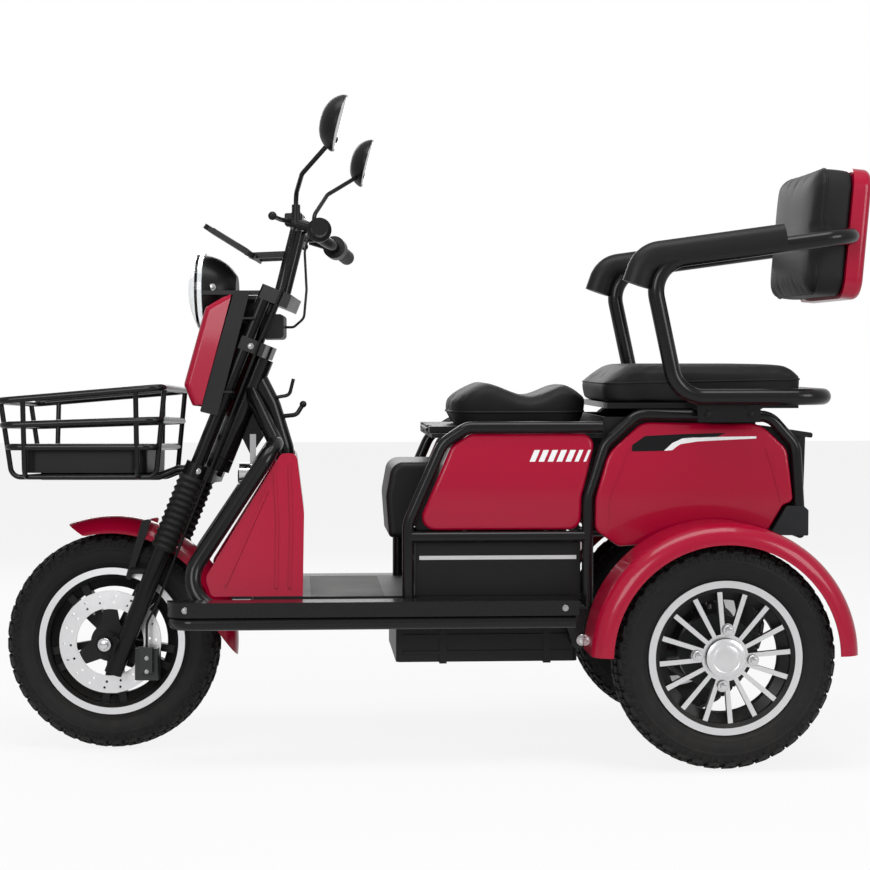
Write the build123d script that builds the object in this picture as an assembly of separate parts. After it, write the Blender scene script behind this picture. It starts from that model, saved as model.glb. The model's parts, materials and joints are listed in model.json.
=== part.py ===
from build123d import *
import os
from math import atan2, cos, degrees, hypot, pi, radians, sin, sqrt, tan

os.makedirs("parts", exist_ok=True)

# Electric three-wheel scooter: one steered front wheel, two driven rear wheels.
# Millimetres. X forward, Y to the vehicle's left, Z up.
# The origin lies on the ground under the middle of the vehicle.

# ---- driving dimensions: wheels and stance ----
FRONT_AXLE_X = 622.0
REAR_AXLE_X = -531.0
TRACK_HALF = 305.0
TYRE_R = 211.0
TYRE_HALF_W = 39.0
AXLE_Z = TYRE_R
STEER_REST = -6.0
RAKE = 22.0
AXIS_FOOT_X = 640.0

# ---- driving dimensions: rim and tyre section ----
BEAD_R = 127.0
FLANGE_R = 144.0
RIM_HALF_W = 27.0
FLANGE_T = 4.0
RIM_WALL = 4.0
TYRE_WALL = 7.0
TREAD_HALF_W = 31.0
SHOULDER_DROP = 11.0

# ---- driving dimensions: fits ----
SEAT_GAP = 0.3
FIT = 0.05

# ---- driving dimensions: steering head and fork ----
HEAD_LOW_W = 617.0
HEAD_TOP_W = 828.0
HEAD_TUBE_D = 48.0
STEM_D = 28.0
LEG_U = 30.0
LEG_HALF = 82.0
STANCHION_D = 26.0
SLIDER_D = 35.0
BOOT_D = 52.0
CLAMP_T = 26.0
CLAMP_GAP = 1.0
SPACER_L = 24.0
BOOT_L = 154.0
BOOT_TOP_W = HEAD_LOW_W - CLAMP_GAP - SPACER_L - CLAMP_T
BOOT_LOW_W = BOOT_TOP_W - BOOT_L
FORK_TOP_W = 962.0
AXLE_D = 12.0

# ---- driving dimensions: frame ----
MAIN_TUBE_D = 32.0
SPINE_D = 38.0
HOOP_TUBE_D = 22.0
CROSS_TUBE_D = 19.0
RAIL_Z = 290.0
RAIL_Y = 200.0
HOOP_Y = 204.0
LOOP_NOSE_X = 510.0
LOOP_TOP_X = 303.0
LOOP_TOP_Y = 100.0
LOOP_TOP_Z = 600.0
RAIL_REAR_X = -262.0
SPINE_X = 280.0
SUB_RAIL_Y = 176.0
SUB_RAIL_Z = 440.0
SEAT_RAIL_Z = 636.0
LOWER_RAIL_Z = 428.0
FLOOR_TUBE_D = 26.0
GUSSET_T = 6.0
PLATE_T = 5.0

# ---- driving dimensions: seat, arms, backrest ----
ARM_TUBE_D = 31.0
ARM_Y = 260.0
ARM_LOW_Z = 694.0
ARM_REAR_X = -742.0
BACK_TUBE_X = -795.0
BACK_TUBE_Z = 1000.0


def steer_plane():
    """Frame of the steering head: x ahead of the axis, y left, z up the axis."""
    rake = radians(RAKE)
    return Plane(
        origin=(AXIS_FOOT_X, 0, 0),
        x_dir=(cos(rake), 0, sin(rake)),
        z_dir=(-sin(rake), 0, cos(rake)),
    )


HEAD = steer_plane()
AXLE_U = (FRONT_AXLE_X - AXIS_FOOT_X) * cos(radians(RAKE)) + AXLE_Z * sin(radians(RAKE))
AXLE_W = -(FRONT_AXLE_X - AXIS_FOOT_X) * sin(radians(RAKE)) + AXLE_Z * cos(radians(RAKE))


def in_head(shape):
    """Place a shape drawn in the steering head's own frame."""
    return HEAD.location * shape


def turned(shape):
    """Turn a straight-ahead shape about the steering axis to its parked angle."""
    axis = Axis(HEAD.origin, HEAD.z_dir)
    return shape.rotate(axis, STEER_REST)


def head_point(u, v, w):
    """World point of a steering-head coordinate."""
    return HEAD.from_local_coords((u, v, w))


def mirrored(shape):
    """The right-hand copy of a left-hand piece."""
    return mirror(shape, about=Plane.XZ)


def pair(shape):
    """Left and right copies, kept as separate solids."""
    return Compound(children=list(shape.solids()) + list(mirrored(shape).solids()))


def tube(points, bend, diameter, closed=False):
    """A round tube along straight runs joined by tangent bends."""
    if len(points) == 2:
        path = Line(points[0], points[1])
    else:
        path = FilletPolyline(*points, radius=bend, close=closed)
    section = Plane(origin=path @ 0, z_dir=path % 0) * Circle(diameter / 2)
    return sweep(section, path=path)


def rod(start, end, diameter):
    """A straight round bar between two points."""
    return tube([start, end], 0, diameter)


def block(x0, x1, y0, y1, z0, z1):
    """A box given by its faces."""
    size = (x1 - x0, y1 - y0, z1 - z0)
    centre = ((x0 + x1) / 2, (y0 + y1) / 2, (z0 + z1) / 2)
    return Pos(*centre) * Box(*size)


def side_shape(points, radii, y0, y1):
    """A rounded side-view outline in X and Z, given depth along Y."""
    outline = FilletPolyline(*points, radius=radii, close=True)
    face = make_face(Plane.XZ * outline)
    solid = extrude(face, amount=y1 - y0, dir=(0, 1, 0))
    return Pos(0, y0, 0) * solid


def disc(centre, diameter, y0, y1):
    """A round plate whose axis lies along Y."""
    x, z = centre
    turn = Pos(x, (y0 + y1) / 2, z) * Rot(90, 0, 0)
    return turn * Cylinder(diameter / 2, y1 - y0)


def save(name, shape):
    """Write one node."""
    export_step(shape, f"parts/{name}.step")


# ---- wheels ----

def tyre():
    """Tube-type tyre: beads in the rim flanges, bulged walls, crowned tread."""
    shoulder_r = TYRE_R - SHOULDER_DROP
    wall_r = (FLANGE_R + shoulder_r) / 2 + 4
    inner_bead = RIM_HALF_W - TYRE_WALL
    throat_r = FLANGE_R + 4
    with BuildSketch(Plane.XY) as section:
        with BuildLine():
            Line((BEAD_R, RIM_HALF_W), (FLANGE_R, RIM_HALF_W))
            ThreePointArc((FLANGE_R, RIM_HALF_W), (wall_r, TYRE_HALF_W), (shoulder_r, TREAD_HALF_W))
            ThreePointArc((shoulder_r, TREAD_HALF_W), (TYRE_R, 0), (shoulder_r, -TREAD_HALF_W))
            ThreePointArc((shoulder_r, -TREAD_HALF_W), (wall_r, -TYRE_HALF_W), (FLANGE_R, -RIM_HALF_W))
            Line((FLANGE_R, -RIM_HALF_W), (BEAD_R, -RIM_HALF_W))
            Line((BEAD_R, -RIM_HALF_W), (BEAD_R, -inner_bead))
            Line((BEAD_R, -inner_bead), (throat_r, -inner_bead))
            ThreePointArc(
                (throat_r, -inner_bead),
                (wall_r, -TYRE_HALF_W + TYRE_WALL),
                (shoulder_r - TYRE_WALL, -TREAD_HALF_W + 2 * TYRE_WALL),
            )
            Line(
                (shoulder_r - TYRE_WALL, -TREAD_HALF_W + 2 * TYRE_WALL),
                (shoulder_r - TYRE_WALL, TREAD_HALF_W - 2 * TYRE_WALL),
            )
            ThreePointArc(
                (shoulder_r - TYRE_WALL, TREAD_HALF_W - 2 * TYRE_WALL),
                (wall_r, TYRE_HALF_W - TYRE_WALL),
                (throat_r, inner_bead),
            )
            Line((throat_r, inner_bead), (BEAD_R, inner_bead))
            Line((BEAD_R, inner_bead), (BEAD_R, RIM_HALF_W))
        make_face()
    return revolve(section.sketch, axis=Axis.Y)


WELL_R = 110.0
WELL_Y0 = -20.0
WELL_Y1 = 2.0


def rim_barrel():
    """Rim ring with two flanges and a drop centre towards the inner side."""
    edge = RIM_HALF_W + FLANGE_T
    slope = BEAD_R - WELL_R
    inner_r = BEAD_R - RIM_WALL
    with BuildSketch(Plane.XY) as section:
        with BuildLine():
            Polyline(
                (FLANGE_R, RIM_HALF_W),
                (BEAD_R, RIM_HALF_W),
                (BEAD_R, WELL_Y1 + slope / 2),
                (WELL_R, WELL_Y1),
                (WELL_R, WELL_Y0),
                (BEAD_R, WELL_Y0 - RIM_WALL),
                (BEAD_R, -RIM_HALF_W),
                (FLANGE_R, -RIM_HALF_W),
                (FLANGE_R, -edge),
                (inner_r, -edge),
                (inner_r, WELL_Y0 - 2 * RIM_WALL),
                (WELL_R - RIM_WALL, WELL_Y0),
                (WELL_R - RIM_WALL, WELL_Y1 + 1),
                (inner_r, WELL_Y1 + slope / 2 + 2),
                (inner_r, edge - 6),
                (inner_r + 8, edge),
                (FLANGE_R, edge),
                close=True,
            )
        make_face()
    return revolve(section.sketch, axis=Axis.Y)


def spoke(r0, r1, w0, w1, y0, y1, angle):
    """One tapered flat spoke from radius r0 to r1 at an angle about the axle."""
    with BuildSketch(Plane.XZ) as face:
        with BuildLine():
            Polyline((r0, -w0 / 2), (r1, -w1 / 2), (r1, w1 / 2), (r0, w0 / 2), close=True)
        make_face()
    bar = extrude(face.sketch, amount=y1 - y0, dir=(0, 1, 0))
    return Rot(0, angle, 0) * (Pos(0, y0, 0) * bar)


REAR_SPOKES = 16
REAR_HUB_R = 44.0
LUG_R = 52.0
REAR_SHAFT_D = 22.0
REAR_SHAFT_L = 62.0
HUB_FACE_Y = 24.0
SPOKE_FACE_Y = 24.0
DOME_R = 37.0


def rear_rim():
    """Alloy rear wheel: slim spokes, four lug bosses, domed hub cap, half shaft."""
    wheel = rim_barrel()
    wheel += disc((0, 0), 2 * REAR_HUB_R, -12, HUB_FACE_Y)
    for i in range(REAR_SPOKES):
        wheel += spoke(REAR_HUB_R - 3, BEAD_R - 2, 8, 9.5, 10, SPOKE_FACE_Y, 5 + i * 360 / REAR_SPOKES)
    for i in range(4):
        turn = radians(5 + i * 90)
        place = (LUG_R * cos(turn), LUG_R * sin(turn))
        wheel += disc(place, 24, 6, SPOKE_FACE_Y)
        wheel += disc(place, 15, SPOKE_FACE_Y, SPOKE_FACE_Y + 7)
    with BuildSketch(Plane.XY) as dome:
        with BuildLine():
            Line((0, HUB_FACE_Y - 2), (DOME_R, HUB_FACE_Y - 2))
            ThreePointArc((DOME_R, HUB_FACE_Y - 2), (DOME_R - 6, HUB_FACE_Y + 8), (20, HUB_FACE_Y + 12))
            Line((20, HUB_FACE_Y + 12), (0, HUB_FACE_Y + 12))
            Line((0, HUB_FACE_Y + 12), (0, HUB_FACE_Y - 2))
        make_face()
    wheel += revolve(dome.sketch, axis=Axis.Y)
    wheel += disc((0, 0), REAR_SHAFT_D, -12 - REAR_SHAFT_L, 0)
    return wheel


FRONT_HUB_R = 32.0
FRONT_HUB_Y = 44.0
DISC_Y = 46.0
DISC_R = 100.0
DISC_BAND_R = 66.0
DISC_T = 4.0


def front_rim():
    """Cast front wheel: five twin spokes, hub barrel with an axle bore."""
    wheel = rim_barrel()
    wheel += disc((0, 0), 2 * FRONT_HUB_R, -FRONT_HUB_Y, FRONT_HUB_Y)
    for i in range(5):
        for side in (-1, 1):
            angle = 19 + 72 * i + side * 8.5
            wheel += spoke(FRONT_HUB_R - 4, BEAD_R - 2, 14, 15, -14, 14, angle)
        wheel += spoke(FRONT_HUB_R - 4, 62, 26, 22, -12, 12, 19 + 72 * i)
    wheel -= disc((0, 0), AXLE_D + 2 * FIT, -60, 60)
    return wheel


def brake_disc():
    """Drilled brake disc on a three-arm carrier, bolted to the hub face."""
    ring = disc((0, 0), 2 * DISC_R, DISC_Y, DISC_Y + DISC_T)
    ring -= disc((0, 0), 2 * DISC_BAND_R, DISC_Y - 1, DISC_Y + DISC_T + 1)
    for i in range(18):
        turn = radians(20 * i)
        for r in (78, 90):
            place = (r * cos(turn + r / 300), r * sin(turn + r / 300))
            ring -= disc(place, 5, DISC_Y - 1, DISC_Y + DISC_T + 1)
    carrier = disc((0, 0), 76, FRONT_HUB_Y, DISC_Y + DISC_T)
    for i in range(3):
        carrier += spoke(30, DISC_BAND_R + 5, 40, 24, FRONT_HUB_Y + 0.5, DISC_Y + DISC_T - 1, 30 + 120 * i)
    carrier -= disc((0, 0), AXLE_D + 12, FRONT_HUB_Y - 1, DISC_Y + DISC_T + 1)
    return carrier + ring


# ---- steering: fork, fender, brake ----

def fork():
    """Telescopic fork: two legs, lower and upper clamps, stem, axle, top bridge."""
    body = None
    leg_low = AXLE_W - 50
    for side in (-1, 1):
        v = side * LEG_HALF
        leg = Pos(LEG_U, v, (BOOT_LOW_W + leg_low) / 2) * Cylinder(SLIDER_D / 2, BOOT_LOW_W - leg_low)
        stanchion_w = (BOOT_LOW_W + FORK_TOP_W) / 2
        leg += Pos(LEG_U, v, stanchion_w) * Cylinder(STANCHION_D / 2, FORK_TOP_W - BOOT_LOW_W)
        lug = Pos(AXLE_U, v, AXLE_W) * Rot(90, 0, 0) * Cylinder(20, SLIDER_D - 4)
        web = Pos((AXLE_U + LEG_U) / 2, v, AXLE_W) * Box(AXLE_U - LEG_U, SLIDER_D - 8, 36)
        leg += lug
        leg += web
        leg += Pos(LEG_U, v, BOOT_TOP_W + CLAMP_T / 2) * Cylinder(21, CLAMP_T)
        body = leg if body is None else body + leg
    lower = Pos(LEG_U / 2, 0, BOOT_TOP_W + CLAMP_T / 2) * Box(46, 2 * LEG_HALF, CLAMP_T)
    body += lower
    stem_top = HEAD_TOP_W + CLAMP_GAP + CLAMP_T
    stem_low = BOOT_TOP_W + CLAMP_T / 2
    body += Pos(0, 0, (stem_low + stem_top) / 2) * Cylinder(STEM_D / 2, stem_top - stem_low)
    body += Pos(0, 0, BOOT_TOP_W + CLAMP_T + SPACER_L / 2) * Cylinder(HEAD_TUBE_D / 2, SPACER_L)
    upper_w = HEAD_TOP_W + CLAMP_GAP
    body += Pos(LEG_U / 2, 0, upper_w + CLAMP_T / 2) * Box(50, 2 * LEG_HALF + 26, CLAMP_T)
    body += top_bridge()
    body += Pos(AXLE_U, 0, AXLE_W) * Rot(90, 0, 0) * Cylinder(AXLE_D / 2, 2 * LEG_HALF + 60)
    for side in (-1, 1):
        v = side * (LEG_HALF + SLIDER_D / 2 + 3)
        body += Pos(AXLE_U, v, AXLE_W) * Rot(90, 0, 0) * Cylinder(10, 10)
    return in_head(body)


def top_bridge():
    """Bridge that joins the two stanchions under the handlebar risers."""
    return Pos(LEG_U / 2 - 6, 0, FORK_TOP_W - 14) * Box(58, 2 * LEG_HALF + 26, 28)


def top_bridge_room():
    """The top bridge grown by the seat gap."""
    grown = 2 * SEAT_GAP
    return Pos(LEG_U / 2 - 6, 0, FORK_TOP_W - 14) * Box(58 + grown, 2 * LEG_HALF + 26 + grown, 28 + grown)


def fork_boots():
    """Rubber bellows that cover the sliding part of each leg."""
    ridges = 12
    pitch = (BOOT_TOP_W - BOOT_LOW_W - 1) / ridges
    with BuildSketch(Plane.XZ) as section:
        with BuildLine():
            points = [(STANCHION_D / 2 + SEAT_GAP, 0)]
            for i in range(ridges):
                points.append((BOOT_D / 2 - 4, i * pitch))
                points.append((BOOT_D / 2, (i + 0.5) * pitch))
            points.append((BOOT_D / 2 - 4, ridges * pitch))
            points.append((STANCHION_D / 2 + SEAT_GAP, ridges * pitch))
            Polyline(*points, close=True)
        make_face()
    boot = revolve(section.sketch, axis=Axis.Z)
    left = Pos(LEG_U, LEG_HALF, BOOT_LOW_W + 0.5) * boot
    right = Pos(LEG_U, -LEG_HALF, BOOT_LOW_W + 0.5) * boot
    return in_head(Compound(children=[left, right]))


FENDER_R = 246.0
FENDER_HALF_W = 49.0
FENDER_T = 3.0
FENDER_FRONT_ANGLE = 64.0
FENDER_REAR_ANGLE = 192.0
STAY_W = 368.0


def front_fender():
    """Crowned fender over the front wheel, with its rear flap."""
    depth = 34.0
    with BuildSketch(Plane.XY) as section:
        with BuildLine():
            lip_r = FENDER_R - depth
            outer = ThreePointArc((lip_r, FENDER_HALF_W), (FENDER_R, 0), (lip_r, -FENDER_HALF_W))
            Line(outer @ 1, (FENDER_R - depth, -FENDER_HALF_W + FENDER_T))
            inner = ThreePointArc(
                (FENDER_R - depth, -FENDER_HALF_W + FENDER_T),
                (FENDER_R - FENDER_T, 0),
                (FENDER_R - depth, FENDER_HALF_W - FENDER_T),
            )
            Line(inner @ 1, outer @ 0)
        make_face()
    sweep_angle = FENDER_REAR_ANGLE - FENDER_FRONT_ANGLE
    arc = revolve(section.sketch, axis=Axis.Y, revolution_arc=sweep_angle)
    arc = Rot(0, -FENDER_FRONT_ANGLE - sweep_angle, 0) * arc
    fender = Pos(FRONT_AXLE_X, 0, AXLE_Z) * arc
    wide = FENDER_HALF_W + 5
    nose_cut = [(630, 380), (630, 417), (677, 418), (722, 446), (800, 440), (800, 380)]
    fender -= side_shape(nose_cut, 2, -wide, wide)
    fender -= side_shape([(366, 166), (432, 262), (432, 100), (360, 100)], 2, -wide, wide)
    for side in (-1, 1):
        y0, y1 = sorted((side * (FENDER_HALF_W - 4), side * (FENDER_HALF_W + 1)))
        fender += side_shape([(583, 330), (592, 336), (560, 448), (540, 452)], 4, y0, y1)
        slider = head_point(LEG_U, side * LEG_HALF, STAY_W)
        boss = rod((580, side * FENDER_HALF_W, 350), slider, 13)
        slider_room = Pos(LEG_U, side * LEG_HALF, STAY_W) * Cylinder(SLIDER_D / 2 + SEAT_GAP, 200)
        fender += boss - in_head(slider_room)
    return fender


def brake_caliper():
    """Caliper behind the left leg, over the rear of the disc."""
    x = FRONT_AXLE_X - 74
    z = AXLE_Z - 42
    body = Pos(x, DISC_Y + DISC_T / 2, z) * Box(44, 44, 62)
    body -= Pos(FRONT_AXLE_X, 0, AXLE_Z) * disc((0, 0), 2 * DISC_R + 6, DISC_Y - 2, DISC_Y + DISC_T + 2)
    bridge = Pos(x - 2, DISC_Y + DISC_T / 2 + 28, z + 10) * Box(24, 20, 50)
    return body + bridge


# ---- steering: headlamp, shield, bars, mirrors ----

LAMP_Z = 899.0
LAMP_X = 378.0
LAMP_R = 74.0


def headlight_housing():
    """Black tapered bucket behind the lens."""
    with BuildSketch(Plane.XY) as section:
        with BuildLine():
            Line((0, 0), (30, 0))
            ThreePointArc((30, 0), (58, 26), (LAMP_R - 3, 62))
            Line((LAMP_R - 3, 62), (LAMP_R - 7, 62))
            ThreePointArc((LAMP_R - 7, 62), (52, 28), (28, 4))
            Line((28, 4), (0, 4))
            Line((0, 4), (0, 0))
        make_face()
    bucket = revolve(section.sketch, axis=Axis.Y)
    bucket = Pos(LAMP_X, 0, LAMP_Z) * Rot(0, 0, -90) * bucket
    for side in (-1, 1):
        y0, y1 = sorted((side * (LAMP_R - 9), side * (LAMP_R + 8)))
        ear = block(296, LAMP_X + 60, y0, y1, LAMP_Z - 12, LAMP_Z - 4)
        ear -= in_head(Pos(LEG_U, side * LEG_HALF, 900) * Cylinder(STANCHION_D / 2 + SEAT_GAP, 200))
        ear -= in_head(top_bridge_room())
        bucket += ear
    return bucket


def lamp_envelope(gap):
    """Space that the lamp takes, grown by a gap."""
    with BuildSketch(Plane.XY) as section:
        with BuildLine():
            Polyline(
                (0, -gap),
                (30 + gap, -gap),
                (58 + gap, 22),
                (LAMP_R + gap, 58),
                (LAMP_R + gap, 120),
                (0, 120),
                close=True,
            )
        make_face()
    envelope = revolve(section.sketch, axis=Axis.Y)
    return Pos(LAMP_X, 0, LAMP_Z) * Rot(0, 0, -90) * envelope


def cap_arc(radius, base, rise):
    """Shallow dome line from a rim to the lamp's axis, square to the axis."""
    sphere = (radius * radius + rise * rise) / (2 * rise)
    half = radius / 2
    middle = base + rise - sphere + sqrt(sphere * sphere - half * half)
    return ThreePointArc((radius, base), (half, middle), (0, base + rise))


LENS_BACK = 62.3
LENS_RIM = 76.0
LENS_RISE = 20.0
LENS_WALL = 5.0


def headlight_lens():
    """Domed clear lens in a bright ring."""
    inner_r = LAMP_R - LENS_WALL
    with BuildSketch(Plane.XY) as section:
        with BuildLine():
            outer = cap_arc(LAMP_R, LENS_RIM, LENS_RISE)
            inner = cap_arc(inner_r, LENS_RIM - LENS_WALL, LENS_RISE)
            Line(outer @ 1, inner @ 1)
            Line(inner @ 0, (inner_r, LENS_BACK))
            Line((inner_r, LENS_BACK), (LAMP_R, LENS_BACK))
            Line((LAMP_R, LENS_BACK), outer @ 0)
        make_face()
    dome = revolve(section.sketch, axis=Axis.Y)
    return Pos(LAMP_X, 0, LAMP_Z) * Rot(0, 0, -90) * dome


SHIELD_HALF = 110.0
SHIELD_T = 3.0


SHIELD_EDGE_R = 13.0


def soft_ends(solid):
    """Edges of a side-view shape's two flat sides."""
    rings = solid.edges().group_by(Axis.Y)
    return rings[0] + rings[-1]


def soft_sides(solid, radius):
    """Rounds the edges of a side-view shape's two flat sides."""
    return fillet(soft_ends(solid), radius)


def shield():
    """Red shell that wraps round the fork above the basket."""
    outer_points = [(330, 894), (372, 894), (428, 862), (470, 712), (452, 668), (400, 668)]
    inner_points = [(300, 902), (368, 902), (424, 858), (466, 712), (448, 660), (380, 660)]
    outline = side_shape(outer_points, 14, -SHIELD_HALF, SHIELD_HALF)
    outline = soft_sides(outline, SHIELD_EDGE_R)
    inner = side_shape(inner_points, 14, -SHIELD_HALF + SHIELD_T, SHIELD_HALF - SHIELD_T)
    inner = soft_sides(inner, SHIELD_EDGE_R - SHIELD_T)
    cutter = side_shape([(200, 940), (374, 940), (378, 880), (440, 650), (420, 600), (200, 600)],
                        5, -200, 200)
    shell = outline - inner - cutter - lamp_envelope(2.0)
    return shell


def shield_inner():
    """Black backing of the shield, lock box and column cover."""
    outer_y = SHIELD_HALF - SHIELD_T - SEAT_GAP
    band = side_shape([(342, 892), (372, 892), (378, 870), (438, 660), (404, 652), (352, 850)],
                      3, -outer_y, outer_y)
    band -= side_shape([(300, 920), (430, 920), (460, 600), (330, 600)], 3, -outer_y + 3, outer_y - 3)
    ribs = block(330, 384, -outer_y, outer_y, 838, 842)
    ribs += block(398, 422, -outer_y, outer_y, 696, 700)
    for side in (-1, 1):
        ribs += block(376, 399, side * 86 - 20, side * 86 + 20, 696, 700)
    for side in (-1, 1):
        ribs -= in_head(Pos(LEG_U, side * LEG_HALF, 800) * Cylinder(STANCHION_D / 2 + SEAT_GAP, 700))
    ribs -= lamp_envelope(1.0)
    box = block(284, 330, -30, 30, 804, 852)
    box = fillet(box.edges().filter_by(Axis.Y), 8)
    ribs += block(320, 345, -24, 24, 838, 842)
    return band + ribs + box


# ---- handlebar ----

BAR_D = 22.0
BAR_HALF = 330.0
BAR_X = 255.0
BAR_Z = 1030.0
GRIP_D = 31.0
GRIP_L = 120.0
GRIP_X = 187.0
GRIP_Z = 993.0
BAR_STRAIGHT = 178.0
BAR_SWEEP = 0.093
BAR_DROP = 0.053
POD_GAP = 2.0
POD_L = 32.0
POD_D = 46.0
PERCH_D = 18.0
MIRROR_SEAT_Z = 1034.0


def bar_end(inboard):
    """Point on the bar's left straight run, measured inboard of its end."""
    return Vector(GRIP_X + BAR_SWEEP * inboard, BAR_HALF - inboard, GRIP_Z + BAR_DROP * inboard)


def bar_points():
    """Centre line of the handlebar from the right end to the left end."""
    end = bar_end(0)
    knee = bar_end(BAR_STRAIGHT)
    return [
        (end.X, -end.Y, end.Z),
        (knee.X, -knee.Y, knee.Z),
        (BAR_X, -62, BAR_Z),
        (BAR_X, 62, BAR_Z),
        (knee.X, knee.Y, knee.Z),
        (end.X, end.Y, end.Z),
    ]


def bar_tube(diameter):
    """The handlebar's tube at a given diameter."""
    return tube(bar_points(), 60, diameter)


RISER_Y = 38.0
RISER_D = 24.0


def riser_rod(side, diameter):
    """One riser's round bar, from the top bridge up to the handlebar."""
    foot = head_point(8, 0, FORK_TOP_W - 14)
    return rod((foot.X, side * RISER_Y, foot.Z), (BAR_X, side * RISER_Y, BAR_Z), diameter)


def handlebar():
    """Swept handlebar on two risers from the fork's top bridge."""
    bar = bar_tube(BAR_D)
    for side in (-1, 1):
        riser = riser_rod(side, RISER_D)
        riser += Pos(BAR_X, side * RISER_Y, BAR_Z) * Rot(90, 0, 0) * Cylinder(BAR_D / 2 + 7, 26)
        bar += riser - in_head(top_bridge())
    return bar


def grips():
    """Rubber grips over the bar ends."""
    grip = rod(bar_end(-6), bar_end(GRIP_L), GRIP_D)
    return pair(grip - rod(bar_end(-SEAT_GAP), bar_end(GRIP_L + 5), BAR_D + 2 * SEAT_GAP))


def lever_root():
    """Pivot of the left brake lever, ahead of its switch pod."""
    return bar_end(GRIP_L + POD_GAP + POD_L / 2) + Vector(52, 0, 16)


def controls():
    """Switch pods, lever perches with reservoirs, and brake levers."""
    a = GRIP_L + POD_GAP
    b = a + POD_L
    pod = rod(bar_end(a), bar_end(b), POD_D)
    root = lever_root()
    pod += rod(bar_end(a + POD_L / 2), root, PERCH_D)
    pod += Pos(root.X - 8, root.Y, MIRROR_SEAT_Z - 12) * Cylinder(9, 24)
    pod += Pos(root.X - 2, root.Y - 24, root.Z + 6) * fillet(Box(34, 30, 24).edges(), 4)
    tip = bar_end(0) + Vector(88, -14, 22)
    pod += tube([root, root + Vector(18, 24, 2), tip], 12, 9)
    pod += Pos(*tip) * Sphere(8)
    return pair(pod - rod(bar_end(a - 5), bar_end(b + 5), BAR_D + 2 * SEAT_GAP))


DISPLAY_L = 116.0
DISPLAY_T = 10.0
DISPLAY_X = 386.0
DISPLAY_Z = 992.0
DISPLAY_TILT = 32.0


def display():
    """Flat instrument plate on two bent arms from the risers, tilted to the rider."""
    plate = Box(DISPLAY_L, 150, DISPLAY_T)
    plate = fillet(plate.edges().filter_by(Axis.Z), 14)
    plate = Pos(DISPLAY_X, 0, DISPLAY_Z) * Rot(0, -DISPLAY_TILT, 0) * plate
    for side in (-1, 1):
        y0, y1 = sorted((side * (RISER_Y - 6), side * (RISER_Y + 4)))
        arm = side_shape([(266, 963), (266, 975), (344, 972), (364, 980), (360, 968), (344, 960)], 2, y0, y1)
        plate += arm - riser_rod(side, RISER_D + 2 * SEAT_GAP)
    return plate


MIRROR_Y = 385.0
MIRROR_X = 146.0
MIRROR_Z = 1186.0
MIRROR_R = 52.0
MIRROR_DEPTH = 34.0
MIRROR_LEAN = 15.0
MIRROR_SPREAD = 13.0


def mirror_head():
    """Domed mirror shell about its glass plane, with the glass recess cut."""
    rim = 5.0
    with BuildSketch(Plane.XY) as section:
        with BuildLine():
            Line((0, 0), (0, MIRROR_R))
            Line((0, MIRROR_R), (rim, MIRROR_R))
            ThreePointArc((rim, MIRROR_R), (0.72 * MIRROR_DEPTH, 0.74 * MIRROR_R), (MIRROR_DEPTH, 0))
            Line((MIRROR_DEPTH, 0), (0, 0))
        make_face()
    head = revolve(section.sketch, axis=Axis.X)
    return head - Rot(0, 90, 0) * Cylinder(MIRROR_R - 3, 4)


def mirrors():
    """Mirror heads on curved stems that stand on the lever perches."""
    root = lever_root()
    foot = Vector(root.X - 8, root.Y, MIRROR_SEAT_Z + SEAT_GAP)
    collar = Pos(foot.X, foot.Y, foot.Z + 7) * Cylinder(8, 14)
    joint = Vector(MIRROR_X + 14, MIRROR_Y - 14, MIRROR_Z - 26)
    both = None
    for side, rise in ((1, -MIRROR_SPREAD), (-1, MIRROR_SPREAD)):
        top = joint + Vector(0, 0, rise)
        stem = tube([foot, foot + Vector(0, 0, 34), (foot.X - 20, 285, top.Z - 52), top], 22, 9)
        head = Pos(MIRROR_X, MIRROR_Y, MIRROR_Z + rise) * Rot(0, -MIRROR_LEAN, 0) * mirror_head()
        piece = head + stem + collar + Pos(*top) * Sphere(10)
        piece = piece if side > 0 else mirrored(piece)
        both = list(piece.solids()) if both is None else both + list(piece.solids())
    return Compound(children=both)


# ---- basket ----

BASKET_REAR_X = 502.0
BASKET_FRONT_X = 818.0
BASKET_HALF = 168.0
BASKET_TUBE_D = 13.0
BASKET_TOP_Z = 706.0
BASKET_DROP = 26.0
BASKET_MID_Z = 644.0
BASKET_LOW_Z = 592.0
BASKET_FLOOR_Z = 541.0
TRAY_T = 2.5
BASKET_BEND = 20.0


def basket_ring(z_rear, z_front, inset):
    """One horizontal hoop of the basket, which may fall towards the front."""
    x0 = BASKET_REAR_X + inset
    x1 = BASKET_FRONT_X - inset
    y = BASKET_HALF - inset
    points = [(x0, -y, z_rear), (x1, -y, z_front), (x1, y, z_front), (x0, y, z_rear)]
    return tube(points, 26, BASKET_TUBE_D, closed=True)


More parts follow.
